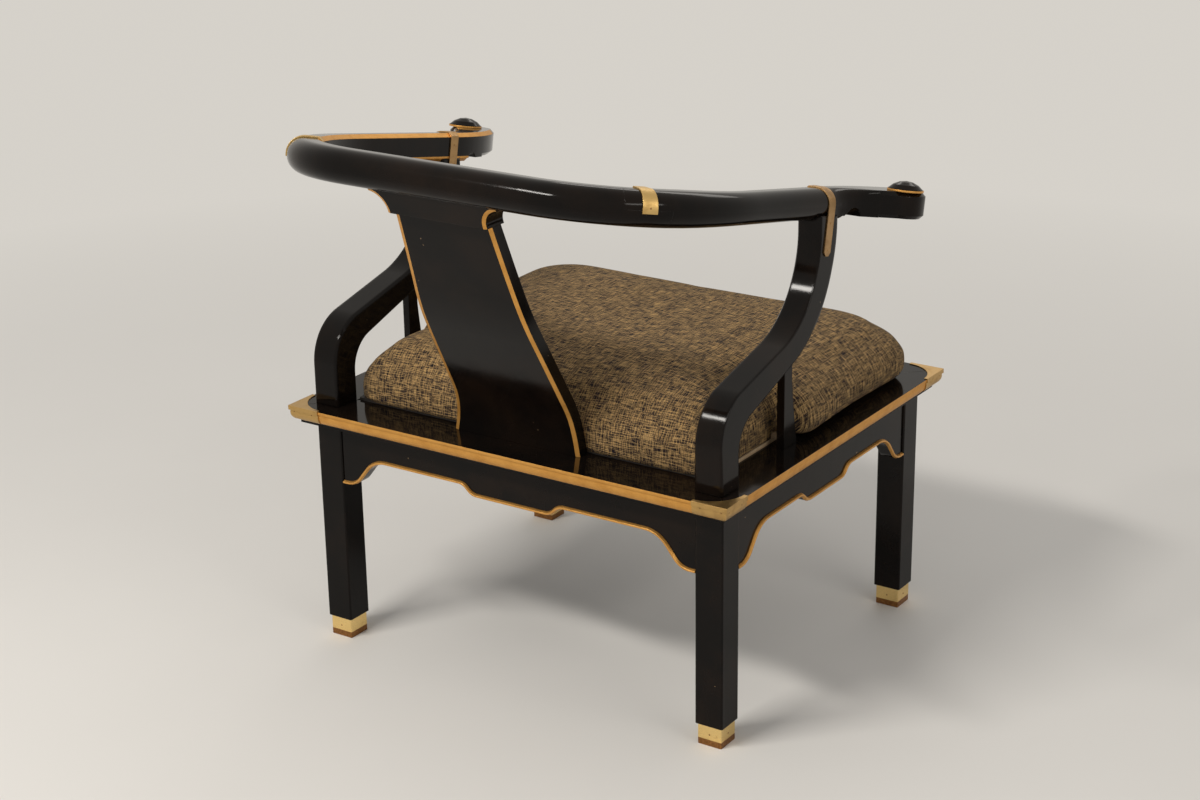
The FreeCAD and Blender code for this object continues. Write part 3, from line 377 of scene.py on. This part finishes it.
def tweed(name):
    """Coarse two-way weave of tan, brown and blue-black yarns with slubs. The mesh's weave gives
    the place in the cloth, and its third number is 1 at the hem, where painted shade darkens the
    cloth that tucks under."""
    p = Paint(name)
    wobble = p.add("ShaderNodeVectorMath", operation="ADD")
    flat = p.add("ShaderNodeAttribute", attribute_name="weave").outputs["Vector"]
    p.feed(wobble.inputs[0], flat)
    p.feed(wobble.inputs[1], p.stretch(p.noise_vector(flat, 34.0), (0.0022, 0.0022, 0.0)))
    weave = wobble.outputs[0]
    u, v, hem = p.apart(weave)
    warp = p.math("SINE", p.math("MULTIPLY", u, 2 * pi / YARN))
    weft = p.math("SINE", p.math("MULTIPLY", v, 2 * pi / YARN))
    cross = p.math("MULTIPLY", warp, weft)
    run_u = p.noise(p.stretch(weave, (44.0, 700.0, 1.0)), 1.0, 1.0, 0.7)
    run_v = p.noise(p.stretch(weave, (650.0, 40.0, 1.0)), 1.07, 1.0, 0.7)
    along = p.blend(p.span(run_u, 0.485, 0.51), WARP_TINTS[0], WARP_TINTS[1])
    along = p.blend(p.span(run_u, 0.51, 0.56), along, WARP_TINTS[2])
    across = p.blend(p.span(run_v, 0.48, 0.51), WEFT_TINTS[0], WEFT_TINTS[1])
    across = p.blend(p.span(run_v, 0.51, 0.56), across, WEFT_TINTS[2])
    color = p.blend(p.span(cross, -0.4, 0.4, 0.1, 0.9), along, across)
    patch = p.noise(weave, 26.0, 2.0, 0.5)
    color = p.blend(p.span(patch, 0.4, 0.65, 0.0, 0.15), color, PATCH_BROWN)
    shade = p.span(p.math("MAXIMUM", warp, weft), 0.0, 0.9, 0.72, 1.0)
    color = p.blend(1.0, color, p.gray(shade), "MULTIPLY")
    # Painted shade: the hem at the cloth's foot, where it tucks under, is darkened to near black.
    color = p.blend(p.span(hem, 0.0, 1.0, 0.0, 0.7), color, HEM_PAINTED_SHADE)
    height = p.math("ADD", p.math("MULTIPLY", cross, 0.4), p.math("ADD", run_u, run_v))
    p.set(Base_Color=color, Roughness=0.92, Specular_IOR_Level=0.1, Sheen_Weight=0.03)
    p.set(Sheen_Roughness=0.5, Normal=p.bump(height, 0.8, 0.0009))
    return p.material


PLY = 0.004
BOARD_PAINTED_SHADE = (0.012, 0.009, 0.007)
BOARD_SHADE_STARTS = 0.155


def wood(name, light, dark, rough=0.6, plywood=False):
    """Bare wood with its grain along X. Plywood shows its plies, and its back is darkened with
    painted shade.
    """
    p = Paint(name)
    grain = (2.5, 34.0, 34.0)
    figure = p.noise(p.stretch(p.spot, grain), 4.0, 4.0, 0.6, 1.2)
    pores = p.noise(p.stretch(p.spot, tuple(8 * g for g in grain)), 3.0, 2.0, 0.6)
    color = p.blend(p.span(figure, 0.35, 0.7), light, dark)
    color = p.blend(p.span(pores, 0.58, 0.75, 0.0, 0.5), color, tuple(0.4 * c for c in dark))
    if plywood:
        x, y, z = p.apart(p.spot)
        depth = p.math("SUBTRACT", z, BOARD_UNDERSIDE * MM)
        layer = p.math("SINE", p.math("MULTIPLY", depth, 2 * pi / PLY))
        facing_up = p.math("ABSOLUTE", p.apart(p.geometry.outputs["True Normal"])[2])
        side = p.span(facing_up, 0.4, 0.6, 1, 0)
        color = p.blend(p.math("MULTIPLY", p.span(layer, -0.2, 0.2, 0.0, 0.6), side), color, dark)
        # Painted shade: the board's back is darkened to near black, where it sits in shade at the
        # back of the seat.
        stain = p.span(y, BOARD_SHADE_STARTS, BOARD_SHADE_STARTS + 0.002)
        color = p.blend(stain, color, BOARD_PAINTED_SHADE)
    p.set(Base_Color=color, Roughness=rough)
    p.set(Normal=p.bump(pores, 0.3, 0.0003, p.soft_edges(0.6 * MM)))
    return p.material


def dust_cloth(name):
    """Thin black non-woven cloth with an embossed dot pattern."""
    p = Paint(name)
    x, y, z = p.apart(p.spot)
    pitch = 0.0018
    waves = [p.math("SINE", p.math("MULTIPLY", way, 2 * pi / pitch)) for way in (x, y)]
    dots = p.math("MULTIPLY", *waves)
    fibre = p.noise(p.spot, 900.0, 3.0, 0.7)
    color = p.blend(p.span(fibre, 0.35, 0.7), (0.012, 0.012, 0.013), (0.035, 0.035, 0.037))
    height = p.math("ADD", p.span(dots, 0.3, 0.6, 1.0, 0.0), p.math("MULTIPLY", fibre, 0.5))
    p.set(Base_Color=color, Roughness=0.9, Sheen_Weight=0.1)
    p.set(Normal=p.bump(height, 0.5, 0.0002))
    return p.material


def steel(name):
    p = Paint(name)
    fine = p.noise(p.spot, 400.0, 3.0, 0.6)
    stain = p.noise(p.spot, 120.0, 3.0, 0.6)
    color = p.blend(p.span(stain, 0.4, 0.7), (0.55, 0.53, 0.48), (0.34, 0.31, 0.26))
    p.set(Base_Color=color, Roughness=p.span(fine, 0.3, 0.7, 0.25, 0.45), Metallic=1.0)
    p.set(Normal=p.bump(fine, 0.2, 0.0001))
    return p.material


black = lacquered("black lacquer")
post_black = lacquered("black lacquer on rounded posts", edge=4.5, haze=0.085)
frame_black = lacquered("black lacquer with gilt moulding", frame_gilding, 1.0, mitre_line, 0.07)
rail_black = lacquered("black lacquer with gilt arrises", rail_gilding, 1.6, haze=0.08)
splat_black = lacquered("black lacquer with gilt chamfers", splat_gilding, 0.8)
gilt = gilded("gilding")
polished = brass("aged brass", (0.62, 0.42, 0.16), (0.46, 0.29, 0.10), 0.4, rough=0.4)
plate = brass("worn brass plate", (0.52, 0.33, 0.12), (0.36, 0.22, 0.08), 0.5, rough=0.32)
foot = brass("polished brass of the feet", (0.92, 0.66, 0.27), (0.50, 0.32, 0.11), 0.2,
             floor_reflection=True)
strap = brass("browned brass straps", (0.43, 0.265, 0.115), (0.27, 0.155, 0.065), 0.6, rough=0.35)
nail_head = brass("brass nail heads", (0.42, 0.25, 0.10), (0.16, 0.09, 0.04), 0.6, 0.2)
cloth = tweed("tweed")
blocks = wood("bare wood", (0.50, 0.35, 0.20), (0.34, 0.21, 0.11))
board = wood("plywood", (0.62, 0.47, 0.30), (0.45, 0.30, 0.17), 0.65, plywood=True)
black_cloth = dust_cloth("black dust cloth")
screw_steel = steel("zinc plated steel")

# By the start of the node's name; the longest start that fits is taken.
FINISH = {
    "frame_rail": frame_black, "mitre_splines": blocks, "leg": black, "ferrule": foot,
    "apron": black, "apron_bead": gilt, "corner_block": blocks, "corner_brackets": plate,
    "crest_rail": rail_black, "terminal_rings": gilt, "terminal_domes": black,
    "scarf_straps": polished, "post_strap": strap, "back_splat": splat_black,
    "arm_post": post_black, "arm_strut": black, "seat_board": board, "dust_cover": black_cloth,
}

for name, node in nodes.items():
    for start in sorted(FINISH, key=len, reverse=True):
        if name.startswith(start):
            for slot in node.material_slots:
                slot.material = FINISH[start]
            break


# Smooth shading over the CAD mesh's small facets, sharp at real arrises

def smoothing(limit):
    """A modifier tree that shades smooth all but the edges over limit."""
    group = bpy.data.node_groups.new("smooth facets", "GeometryNodeTree")
    group.interface.new_socket("Geometry", in_out="INPUT", socket_type="NodeSocketGeometry")
    group.interface.new_socket("Geometry", in_out="OUTPUT", socket_type="NodeSocketGeometry")
    start = group.nodes.new("NodeGroupInput")
    end = group.nodes.new("NodeGroupOutput")
    plain_normals = group.nodes.new("GeometryNodeRemoveAttribute")
    plain_normals.inputs["Name"].default_value = "custom_normal"
    joined = group.nodes.new("GeometryNodeMergeByDistance")
    joined.inputs["Distance"].default_value = 1e-6
    faces = group.nodes.new("GeometryNodeSetShadeSmooth")
    round_edges = group.nodes.new("GeometryNodeSetShadeSmooth")
    round_edges.domain = "EDGE"
    sharp_edges = group.nodes.new("GeometryNodeSetShadeSmooth")
    sharp_edges.domain = "EDGE"
    sharp_edges.inputs["Shade Smooth"].default_value = False
    angle = group.nodes.new("GeometryNodeInputMeshEdgeAngle")
    wide = group.nodes.new("FunctionNodeCompare")
    wide.operation = "GREATER_THAN"
    wide.inputs[1].default_value = limit
    group.links.new(angle.outputs["Unsigned Angle"], wide.inputs[0])
    group.links.new(wide.outputs[0], sharp_edges.inputs["Selection"])
    chain = [start, plain_normals, joined, faces, round_edges, sharp_edges, end]
    for a, b in zip(chain, chain[1:]):
        group.links.new(a.outputs[0], b.inputs[0])
    return group


soft_facets = smoothing(radians(13))
for name, node in nodes.items():
    if name.startswith(("crest_rail", "arm_post", "terminal", "scarf", "post_strap")):
        node.modifiers.new("smooth facets", "NODES").node_group = soft_facets


# Small tools for pieces

def piece(name, mesh, material):
    mesh.name = name
    obj = bpy.data.objects.new(name, mesh)
    bpy.context.scene.collection.objects.link(obj)
    mesh.materials.clear()
    mesh.materials.append(material)
    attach(obj, "root")
    return obj


def turned(bm, spot, axis, profile, steps):
    """Adds a turned solid at spot: profile is (radius, height) pairs along the axis."""
    axis = Vector(axis).normalized()
    turn = Vector((0, 0, 1)).rotation_difference(axis).to_matrix()
    angles = [2 * pi * i / steps for i in range(steps)]
    rings = []
    for radius, height in profile:
        if radius == 0:
            points = [(0, 0, height)]
        else:
            points = [(radius * cos(angle), radius * sin(angle), height) for angle in angles]
        rings.append([bm.verts.new(spot + turn @ Vector(point)) for point in points])
    for low, high in zip(rings, rings[1:]):
        for i in range(steps):
            j = (i + 1) % steps
            # A ring of one point is a tip: its corner counts once.
            corners = [low[i % len(low)], low[j % len(low)]]
            corners += [high[j % len(high)], high[i % len(high)]]
            corners = list(dict.fromkeys(corners))
            if len(corners) > 2:
                bm.faces.new(corners).smooth = True


# (radius, height) pairs of a nail's head, in millimetres
NAIL = [(0.0, -0.6), (1.7, -0.6), (1.75, 0.15), (1.45, 0.55), (0.8, 0.85), (0.0, 0.95)]


def nail(bm, spot, axis, size):
    turned(bm, spot, axis, [(size * r * MM, size * h * MM) for r, h in NAIL], 12)


# Cushion

def applied(obj, frames=0):
    """Runs the object's modifiers and keeps their result as its mesh."""
    for number in range(1, frames + 1):
        bpy.context.scene.frame_set(number)
        bpy.context.view_layer.update()
    depsgraph = bpy.context.evaluated_depsgraph_get()
    shape = bpy.data.meshes.new_from_object(obj.evaluated_get(depsgraph))
    obj.modifiers.clear()
    obj.data = shape
    bpy.context.scene.frame_set(1)


def ease(value, start, end):
    """0 before start, 1 past end, and a smooth step between."""
    share = max(0.0, min(1.0, (value - start) / (end - start)))
    return share * share * (3 - 2 * share)


# Behind the struts the cushion's foot is filled out to the seat board's edge.
TUCK_FROM = -0.004
TUCK_HEIGHT = 0.06
TUCK_ROUND = 0.022
TUCK_DROP = 0.0034
PAST_SIDE = -0.0015
PAST_SIDE_BEHIND = 0.0013
PAST_BACK = 0.0014


def tuck(v, foot, edge):
    """Fills the cloth out to the seat board's edge behind the struts, and over it at the back.
    foot is the height of the board's top, and edge its rear left corner."""
    behind = ease(v.co.y, 0.13, 0.15)
    if v.co.y < TUCK_FROM or v.co.z > foot + TUCK_HEIGHT:
        return
    past_side = PAST_SIDE + (PAST_SIDE_BEHIND - PAST_SIDE) * behind
    reach = Vector((edge.x + past_side - TUCK_ROUND, edge.y + PAST_BACK - TUCK_ROUND))
    beyond = Vector((abs(v.co.x) - reach.x, v.co.y - reach.y))
    side = 1 if v.co.x > 0 else -1
    if beyond.x > 0 and beyond.y > 0:
        inside = beyond.length - TUCK_ROUND
        way = Vector((beyond.x * side, beyond.y)).normalized()
    elif beyond.y > beyond.x:
        inside, way = beyond.y - TUCK_ROUND, Vector((0, 1))
    else:
        inside, way = beyond.x - TUCK_ROUND, Vector((side, 0))
    high = ease(foot + TUCK_HEIGHT - v.co.z, 0, 0.045)
    share = high * ease(v.co.y, TUCK_FROM, 0.012) * ease(inside, -0.034, -0.02)
    v.co.xy -= way * inside * share
    down = ease(inside * (1 - share), -0.006, -0.001) * ease(foot + 0.008 - v.co.z, 0, 0.006)
    v.co.z -= TUCK_DROP * down * behind * share


# The cloth starts inside the CAD cushion by the slack, and swells by no more than these.
SLACK = 0.001
TOP_SLACK = 0.003
VOXEL = 0.006
STIFF_EDGE_HEIGHT = 0.07
EDGE_SWELL = 0.002
SWELL = 0.005
TOP_SWELL = 0.002

# The cloth lies flat within these, and its coordinates run down the sides beyond.
FLAT_HALF_WIDTH = 0.27
FLAT_FRONT = -0.28
FLAT_BACK = 0.10
HEM = 0.003


def slightly_smaller(mesh, low, high):
    """Takes the solid in by the room that the cloth swells into."""
    middle = (low + high) / 2
    bm = bmesh.new()
    bm.from_mesh(mesh)
    bmesh.ops.remove_doubles(bm, verts=bm.verts, dist=1e-5)
    for v in bm.verts:
        v.co.x = middle.x + (v.co.x - middle.x) * (1 - SLACK / (high.x - middle.x))
        v.co.y = middle.y + (v.co.y - middle.y) * (1 - SLACK / (high.y - middle.y))
        v.co.z = low.z + (v.co.z - low.z) * (1 - TOP_SLACK / (high.z - low.z))
    bm.to_mesh(mesh)
    bm.free()


def filled(obj):
    """Blows the cloth up from inside, without gravity."""
    sim = obj.modifiers.new("fill", "CLOTH")
    sim.settings.quality = 5
    sim.settings.mass = 0.3
    sim.settings.tension_stiffness = 25
    sim.settings.compression_stiffness = 25
    sim.settings.shear_stiffness = 12
    sim.settings.bending_stiffness = 1.5
    sim.settings.use_pressure = True
    sim.settings.uniform_pressure_force = 4
    sim.settings.effector_weights.gravity = 0
    sim.point_cache.frame_end = 20
    applied(obj, 20)


def woven(obj, low, high, edge):
    """Tucks the foot in, and lays the cloth's own coordinates over the top and down the sides."""
    weave = obj.data.attributes.new("weave", "FLOAT_VECTOR", "POINT")
    for v, item in zip(obj.data.vertices, weave.data):
        v.co.z = max(v.co.z, low.z)
        tuck(v, low.z, edge)
        inner = Vector((max(-FLAT_HALF_WIDTH, min(FLAT_HALF_WIDTH, v.co.x)),
                        max(FLAT_FRONT, min(FLAT_BACK, v.co.y))))
        out = v.co.xy - inner
        drop = high.z - v.co.z
        # Share of painted shade: 1 along the lowest few millimetres of the cloth, where it tucks
        # under.
        hem = ease(low.z + HEM - v.co.z, 0, 0.0025)
        item.vector = (*(v.co.xy + out.normalized() * drop), hem)


def cushion():
    low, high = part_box("seat_cushion")
    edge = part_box("seat_board")[1]
    mesh = nodes["seat_cushion"].data.copy()
    slightly_smaller(mesh, low, high)
    obj = piece("tweed_cushion", mesh, cloth)
    remesh = obj.modifiers.new("even", "REMESH")
    remesh.mode = "VOXEL"
    remesh.voxel_size = VOXEL
    applied(obj)
    rest = [v.co.copy() for v in obj.data.vertices]
    filled(obj)
    for v, before in zip(obj.data.vertices, rest):
        move = v.co - before
        cap = EDGE_SWELL if before.z < low.z + STIFF_EDGE_HEIGHT else SWELL
        if move.length > cap:
            move *= cap / move.length
        v.co = before + move
        v.co.z = min(max(v.co.z, low.z), high.z + TOP_SWELL)
    smooth = obj.modifiers.new("smooth", "SMOOTH")
    smooth.factor = 0.5
    smooth.iterations = 5
    finer = obj.modifiers.new("finer", "SUBSURF")
    finer.levels = finer.render_levels = 1
    applied(obj)
    woven(obj, low, high, edge)
    obj.data.polygons.foreach_set("use_smooth", [True] * len(obj.data.polygons))
    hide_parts("seat_cushion")


cushion()


# Nails, screws and staples

def on_rail(x, along, over):
    """A point given in the crest rail's own plane, in millimetres."""
    y = along * cos(TILT) - over * sin(TILT)
    z = along * sin(TILT) + over * cos(TILT)
    return place(x, y, RAIL_HEIGHT + z)


def rail_way(x, y, z):
    """A direction given in the crest rail's own plane."""
    return Vector((x, y * cos(TILT) - z * sin(TILT), y * sin(TILT) + z * cos(TILT)))


def nail_on(bm, name, start, way, size=0.8):
    """Drives a nail where a line from start meets the piece."""
    node = nodes[name]
    back = node.matrix_world.inverted()
    hit, spot, facing, face = node.ray_cast(back @ start, (back.to_3x3() @ way).normalized())
    if hit:
        nail(bm, node.matrix_world @ spot, facing, size)


# Places of the nails in millimetres: on the rail in its own plane, on the frame about its middle.
RAIL_OUTSIDE = 380
RAIL_INSIDE = 240
RAIL_CLEAR = 60
SHOULDER_CLEAR = 80
STRAP_ALONG = -8
STRAP_NAILS_OUTSIDE = -23.5, -59.5
STRAP_NAILS_INSIDE = 4, -40
STRAP_TOP_LEAN = radians(25)
LAP_NAIL_TURN = radians(55)
LAP_NAIL_OVER = 3
BRACKET_NAILS = 39.0, 8.0
BRACKET_NAIL_HEIGHT = 351.0
FRAME_OUTSIDE_X = 390
FRAME_OUTSIDE_Y = 340
FERRULE_NAIL_HEIGHT = 16.5
SMALL = 0.7


def strap_nails(bm, side, word):
    """Nails outside, inside and on top of an arm's strap, and one in the lap's strap."""
    strap_name = "post_strap_" + word
    for over in STRAP_NAILS_OUTSIDE:
        start = on_rail(side * RAIL_OUTSIDE, STRAP_ALONG, over)
        nail_on(bm, strap_name, start, rail_way(-side, 0, 0))
    for over in STRAP_NAILS_INSIDE:
        start = on_rail(side * RAIL_INSIDE, STRAP_ALONG, over)
        nail_on(bm, strap_name, start, rail_way(side, 0, 0))
    across, up = cos(STRAP_TOP_LEAN), sin(STRAP_TOP_LEAN)
    start = on_rail(side * (RAIL_SIDE - 2 + RAIL_CLEAR * across), STRAP_ALONG, RAIL_CLEAR * up)
    nail_on(bm, strap_name, start, rail_way(-side * across, 0, -up))
    reach = SHOULDER_RADIUS + SHOULDER_CLEAR
    across, back = sin(LAP_NAIL_TURN), cos(LAP_NAIL_TURN)
    middle = RAIL_BACK - SHOULDER_RADIUS
    start = on_rail(side * (RAIL_BACK_HALF + reach * across), middle + reach * back, LAP_NAIL_OVER)
    nail_on(bm, "scarf_straps", start, rail_way(-side * across, -back, 0))


def corner_nails(bm, side, word, end, end_word):
    """Two nails in each edge of a corner bracket, and one in three faces of a ferrule."""
    for inset in BRACKET_NAILS:
        start = place(side * (FRAME_HALF_WIDTH - inset), end * FRAME_OUTSIDE_Y, BRACKET_NAIL_HEIGHT)
        nail_on(bm, "corner_brackets", start, Vector((0, -end, 0)), SMALL)
        start = place(side * FRAME_OUTSIDE_X, end * (FRAME_HALF_DEPTH - inset), BRACKET_NAIL_HEIGHT)
        nail_on(bm, "corner_brackets", start, Vector((-side, 0, 0)), SMALL)
    foot_name = "ferrule_" + end_word + "_" + word
    low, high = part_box(foot_name)
    for way in (Vector((0, end, 0)), Vector((0, -end, 0)), Vector((side, 0, 0))):
        start = (low + high) / 2 + way * 0.06
        start.z = FERRULE_NAIL_HEIGHT * MM
        nail_on(bm, foot_name, start, -way, SMALL)


def brass_nails():
    bm = bmesh.new()
    for side, word in ((1, "left"), (-1, "right")):
        strap_nails(bm, side, word)
        for end, end_word in ((-1, "front"), (1, "rear")):
            corner_nails(bm, side, word, end, end_word)
    mesh = bpy.data.meshes.new("nails")
    bm.to_mesh(mesh)
    bm.free()
    piece("brass_nails", mesh, nail_head)


def staples():
    """Wire staples that hold the cloth under the seat board."""
    low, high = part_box("dust_cover")
    pitch = 0.042
    half_long, half_wire = 0.005, 0.0004
    inset = Vector((0.007, 0.007, 0))
    first, last = low + inset, high - inset
    spots = []
    across = round((last.x - first.x) / pitch)
    for i in range(across + 1):
        x = first.x + (last.x - first.x) * i / across
        spots += [(x, first.y, False), (x, last.y, False)]
    deep = round((last.y - first.y) / pitch)
    for i in range(1, deep):
        y = first.y + (last.y - first.y) * i / deep
        spots += [(first.x, y, True), (last.x, y, True)]
    bm = bmesh.new()
    for x, y, turned_round in spots:
        half_x, half_y = (half_wire, half_long) if turned_round else (half_long, half_wire)
        made = bmesh.ops.create_cube(bm, size=2.0)["verts"]
        bmesh.ops.scale(bm, verts=made, vec=(half_x, half_y, half_wire))
        bmesh.ops.translate(bm, verts=made, vec=(x, y, low.z - half_wire * 0.6))
        edges = list({e for v in made for e in v.link_edges})
        bmesh.ops.bevel(bm, geom=edges, offset=half_wire / 2, segments=1, affect="EDGES")
    mesh = bpy.data.meshes.new("staples")
    bm.to_mesh(mesh)
    bm.free()
    piece("cover_staples", mesh, screw_steel)


# (radius, height) pairs of a screw and its washer, in millimetres, from the block's underside
SCREW = [(0.0, 3.0), (2.2, 3.0), (2.2, 0.4), (8.5, 0.4), (8.5, -0.8), (5.2, -0.8), (5.2, -2.0),
         (4.2, -3.1), (2.4, -3.7), (0.9, -3.8), (0.7, -2.2), (0.0, -2.2)]


def seat_screws():
    """Round-headed screws with washers under the corner blocks."""
    bm = bmesh.new()
    for x in (-SCREW_X, SCREW_X):
        for y in (-SCREW_Y, SCREW_Y):
            spot = place(x, y, BLOCK_UNDERSIDE)
            turned(bm, spot, (0, 0, 1), [(r * MM, h * MM) for r, h in SCREW], 20)
    bmesh.ops.recalc_face_normals(bm, faces=bm.faces)
    mesh = bpy.data.meshes.new("screws")
    bm.to_mesh(mesh)
    bm.free()
    piece("seat_screws", mesh, screw_steel)


brass_nails()
seat_screws()
staples()


# Floor, light and camera

BACKDROP = (0.67, 0.64, 0.59)
FLOOR_RADIUS = 14.0
FLOOR_FADE = 0.9, 2.6
WORLD_LIGHT = 0.42


def stage():
    """A pale floor that fades to the backdrop's colour where the camera and gloss see it."""
    ground = bpy.data.meshes.new("floor")
    bm = bmesh.new()
    turned(bm, Vector((0, 0, 0)), (0, 0, 1), [(FLOOR_RADIUS, 0.0), (0.0, 0.0)], 96)
    bmesh.ops.reverse_faces(bm, faces=[f for f in bm.faces if f.normal.z < 0])
    bm.to_mesh(ground)
    bm.free()
    p = Paint("pale floor")
    cloudy = p.noise(p.spot, 3.0, 3.0, 0.5)
    p.set(Base_Color=p.blend(cloudy, (0.70, 0.685, 0.66), (0.73, 0.715, 0.69)), Roughness=0.6)
    p.set(Specular_IOR_Level=0.3)
    x, y, z = p.apart(p.spot)
    away = p.math("SQRT", p.math("ADD", p.math("MULTIPLY", x, x), p.math("MULTIPLY", y, y)))
    rays = p.add("ShaderNodeLightPath")
    glow = p.add("ShaderNodeEmission")
    glow.inputs["Color"].default_value = (*BACKDROP, 1)
    seen = p.math("MAXIMUM", rays.outputs["Is Camera Ray"], rays.outputs["Is Glossy Ray"])
    seen = p.math("MAXIMUM", seen, rays.outputs["Is Transmission Ray"])
    share = p.math("MULTIPLY", p.span(away, *FLOOR_FADE), seen)
    mix = p.add("ShaderNodeMixShader")
    out = next(n for n in p.tree.nodes if n.type == "OUTPUT_MATERIAL")
    p.feed(mix.inputs[0], share)
    p.tree.links.new(p.shader.outputs[0], mix.inputs[1])
    p.tree.links.new(glow.outputs[0], mix.inputs[2])
    p.tree.links.new(mix.outputs[0], out.inputs[0])
    ground.materials.append(p.material)
    floor = bpy.data.objects.new("floor", ground)
    bpy.context.scene.collection.objects.link(floor)


def surroundings():
    """Plain light from all sides, and the backdrop for camera, gloss and glass."""
    world = bpy.data.worlds.new("studio")
    bpy.context.scene.world = world
    world.use_nodes = True
    tree = world.node_tree
    tree.nodes.clear()
    out = tree.nodes.new("ShaderNodeOutputWorld")
    mix = tree.nodes.new("ShaderNodeMixShader")
    rays = tree.nodes.new("ShaderNodeLightPath")
    light = tree.nodes.new("ShaderNodeBackground")
    seen = tree.nodes.new("ShaderNodeBackground")
    light.inputs["Color"].default_value = (1.0, 0.98, 0.95, 1)
    light.inputs["Strength"].default_value = WORLD_LIGHT
    seen.inputs["Color"].default_value = (*BACKDROP, 1)
    seen.inputs["Strength"].default_value = 1.0
    shows = rays.outputs["Is Camera Ray"]
    for kind in ("Is Glossy Ray", "Is Transmission Ray"):
        either = tree.nodes.new("ShaderNodeMath")
        either.operation = "MAXIMUM"
        tree.links.new(shows, either.inputs[0])
        tree.links.new(rays.outputs[kind], either.inputs[1])
        shows = either.outputs[0]
    tree.links.new(shows, mix.inputs[0])
    tree.links.new(light.outputs[0], mix.inputs[1])
    tree.links.new(seen.outputs[0], mix.inputs[2])
    tree.links.new(mix.outputs[0], out.inputs[0])


LAMP_COLOR = (1.0, 0.96, 0.9)
LAMP_AIM = Vector((0.0, 0.0, 0.4))


def lamp(name, spot, size, power):
    light = bpy.data.lights.new(name, "AREA")
    light.shape = "RECTANGLE"
    light.size, light.size_y = size
    light.energy = power
    light.color = LAMP_COLOR
    obj = bpy.data.objects.new(name, light)
    obj.location = spot
    aim = LAMP_AIM - Vector(spot)
    obj.rotation_euler = aim.to_track_quat("-Z", "Y").to_euler()
    bpy.context.scene.collection.objects.link(obj)


# The photograph's view, solved from the seat frame and the legs.
AZIMUTH = radians(213.96)
ELEVATION = radians(20.16)
ROLL = radians(-0.88)
EYE = (-1.6854, 2.4938, 1.4635)
LENS = 68.7


def camera():
    level = Vector((sin(AZIMUTH), -cos(AZIMUTH), 0))
    back = level * cos(ELEVATION) + Vector((0, 0, sin(ELEVATION)))
    right = (-back).cross(Vector((0, 0, 1))).normalized()
    up = right.cross(-back)
    right, up = right * cos(ROLL) + up * sin(ROLL), up * cos(ROLL) - right * sin(ROLL)
    view = bpy.data.cameras.new("photo view")
    view.lens = LENS
    view.sensor_width = 36
    obj = bpy.data.objects.new("photo view", view)
    turn = Matrix((right, up, back)).transposed().to_4x4()
    obj.matrix_world = Matrix.Translation(EYE) @ turn
    bpy.context.scene.collection.objects.link(obj)
    bpy.context.scene.camera = obj


stage()
surroundings()
lamp("key", (0.8, 2.35, 2.8), (1.5, 0.28), 80)
lamp("side", (-2.7, 0.6, 2.1), (1.6, 0.3), 13)
lamp("front", (0.6, -2.8, 2.4), (2.4, 0.6), 12)
camera()
bpy.context.scene.view_settings.view_transform = "Standard"
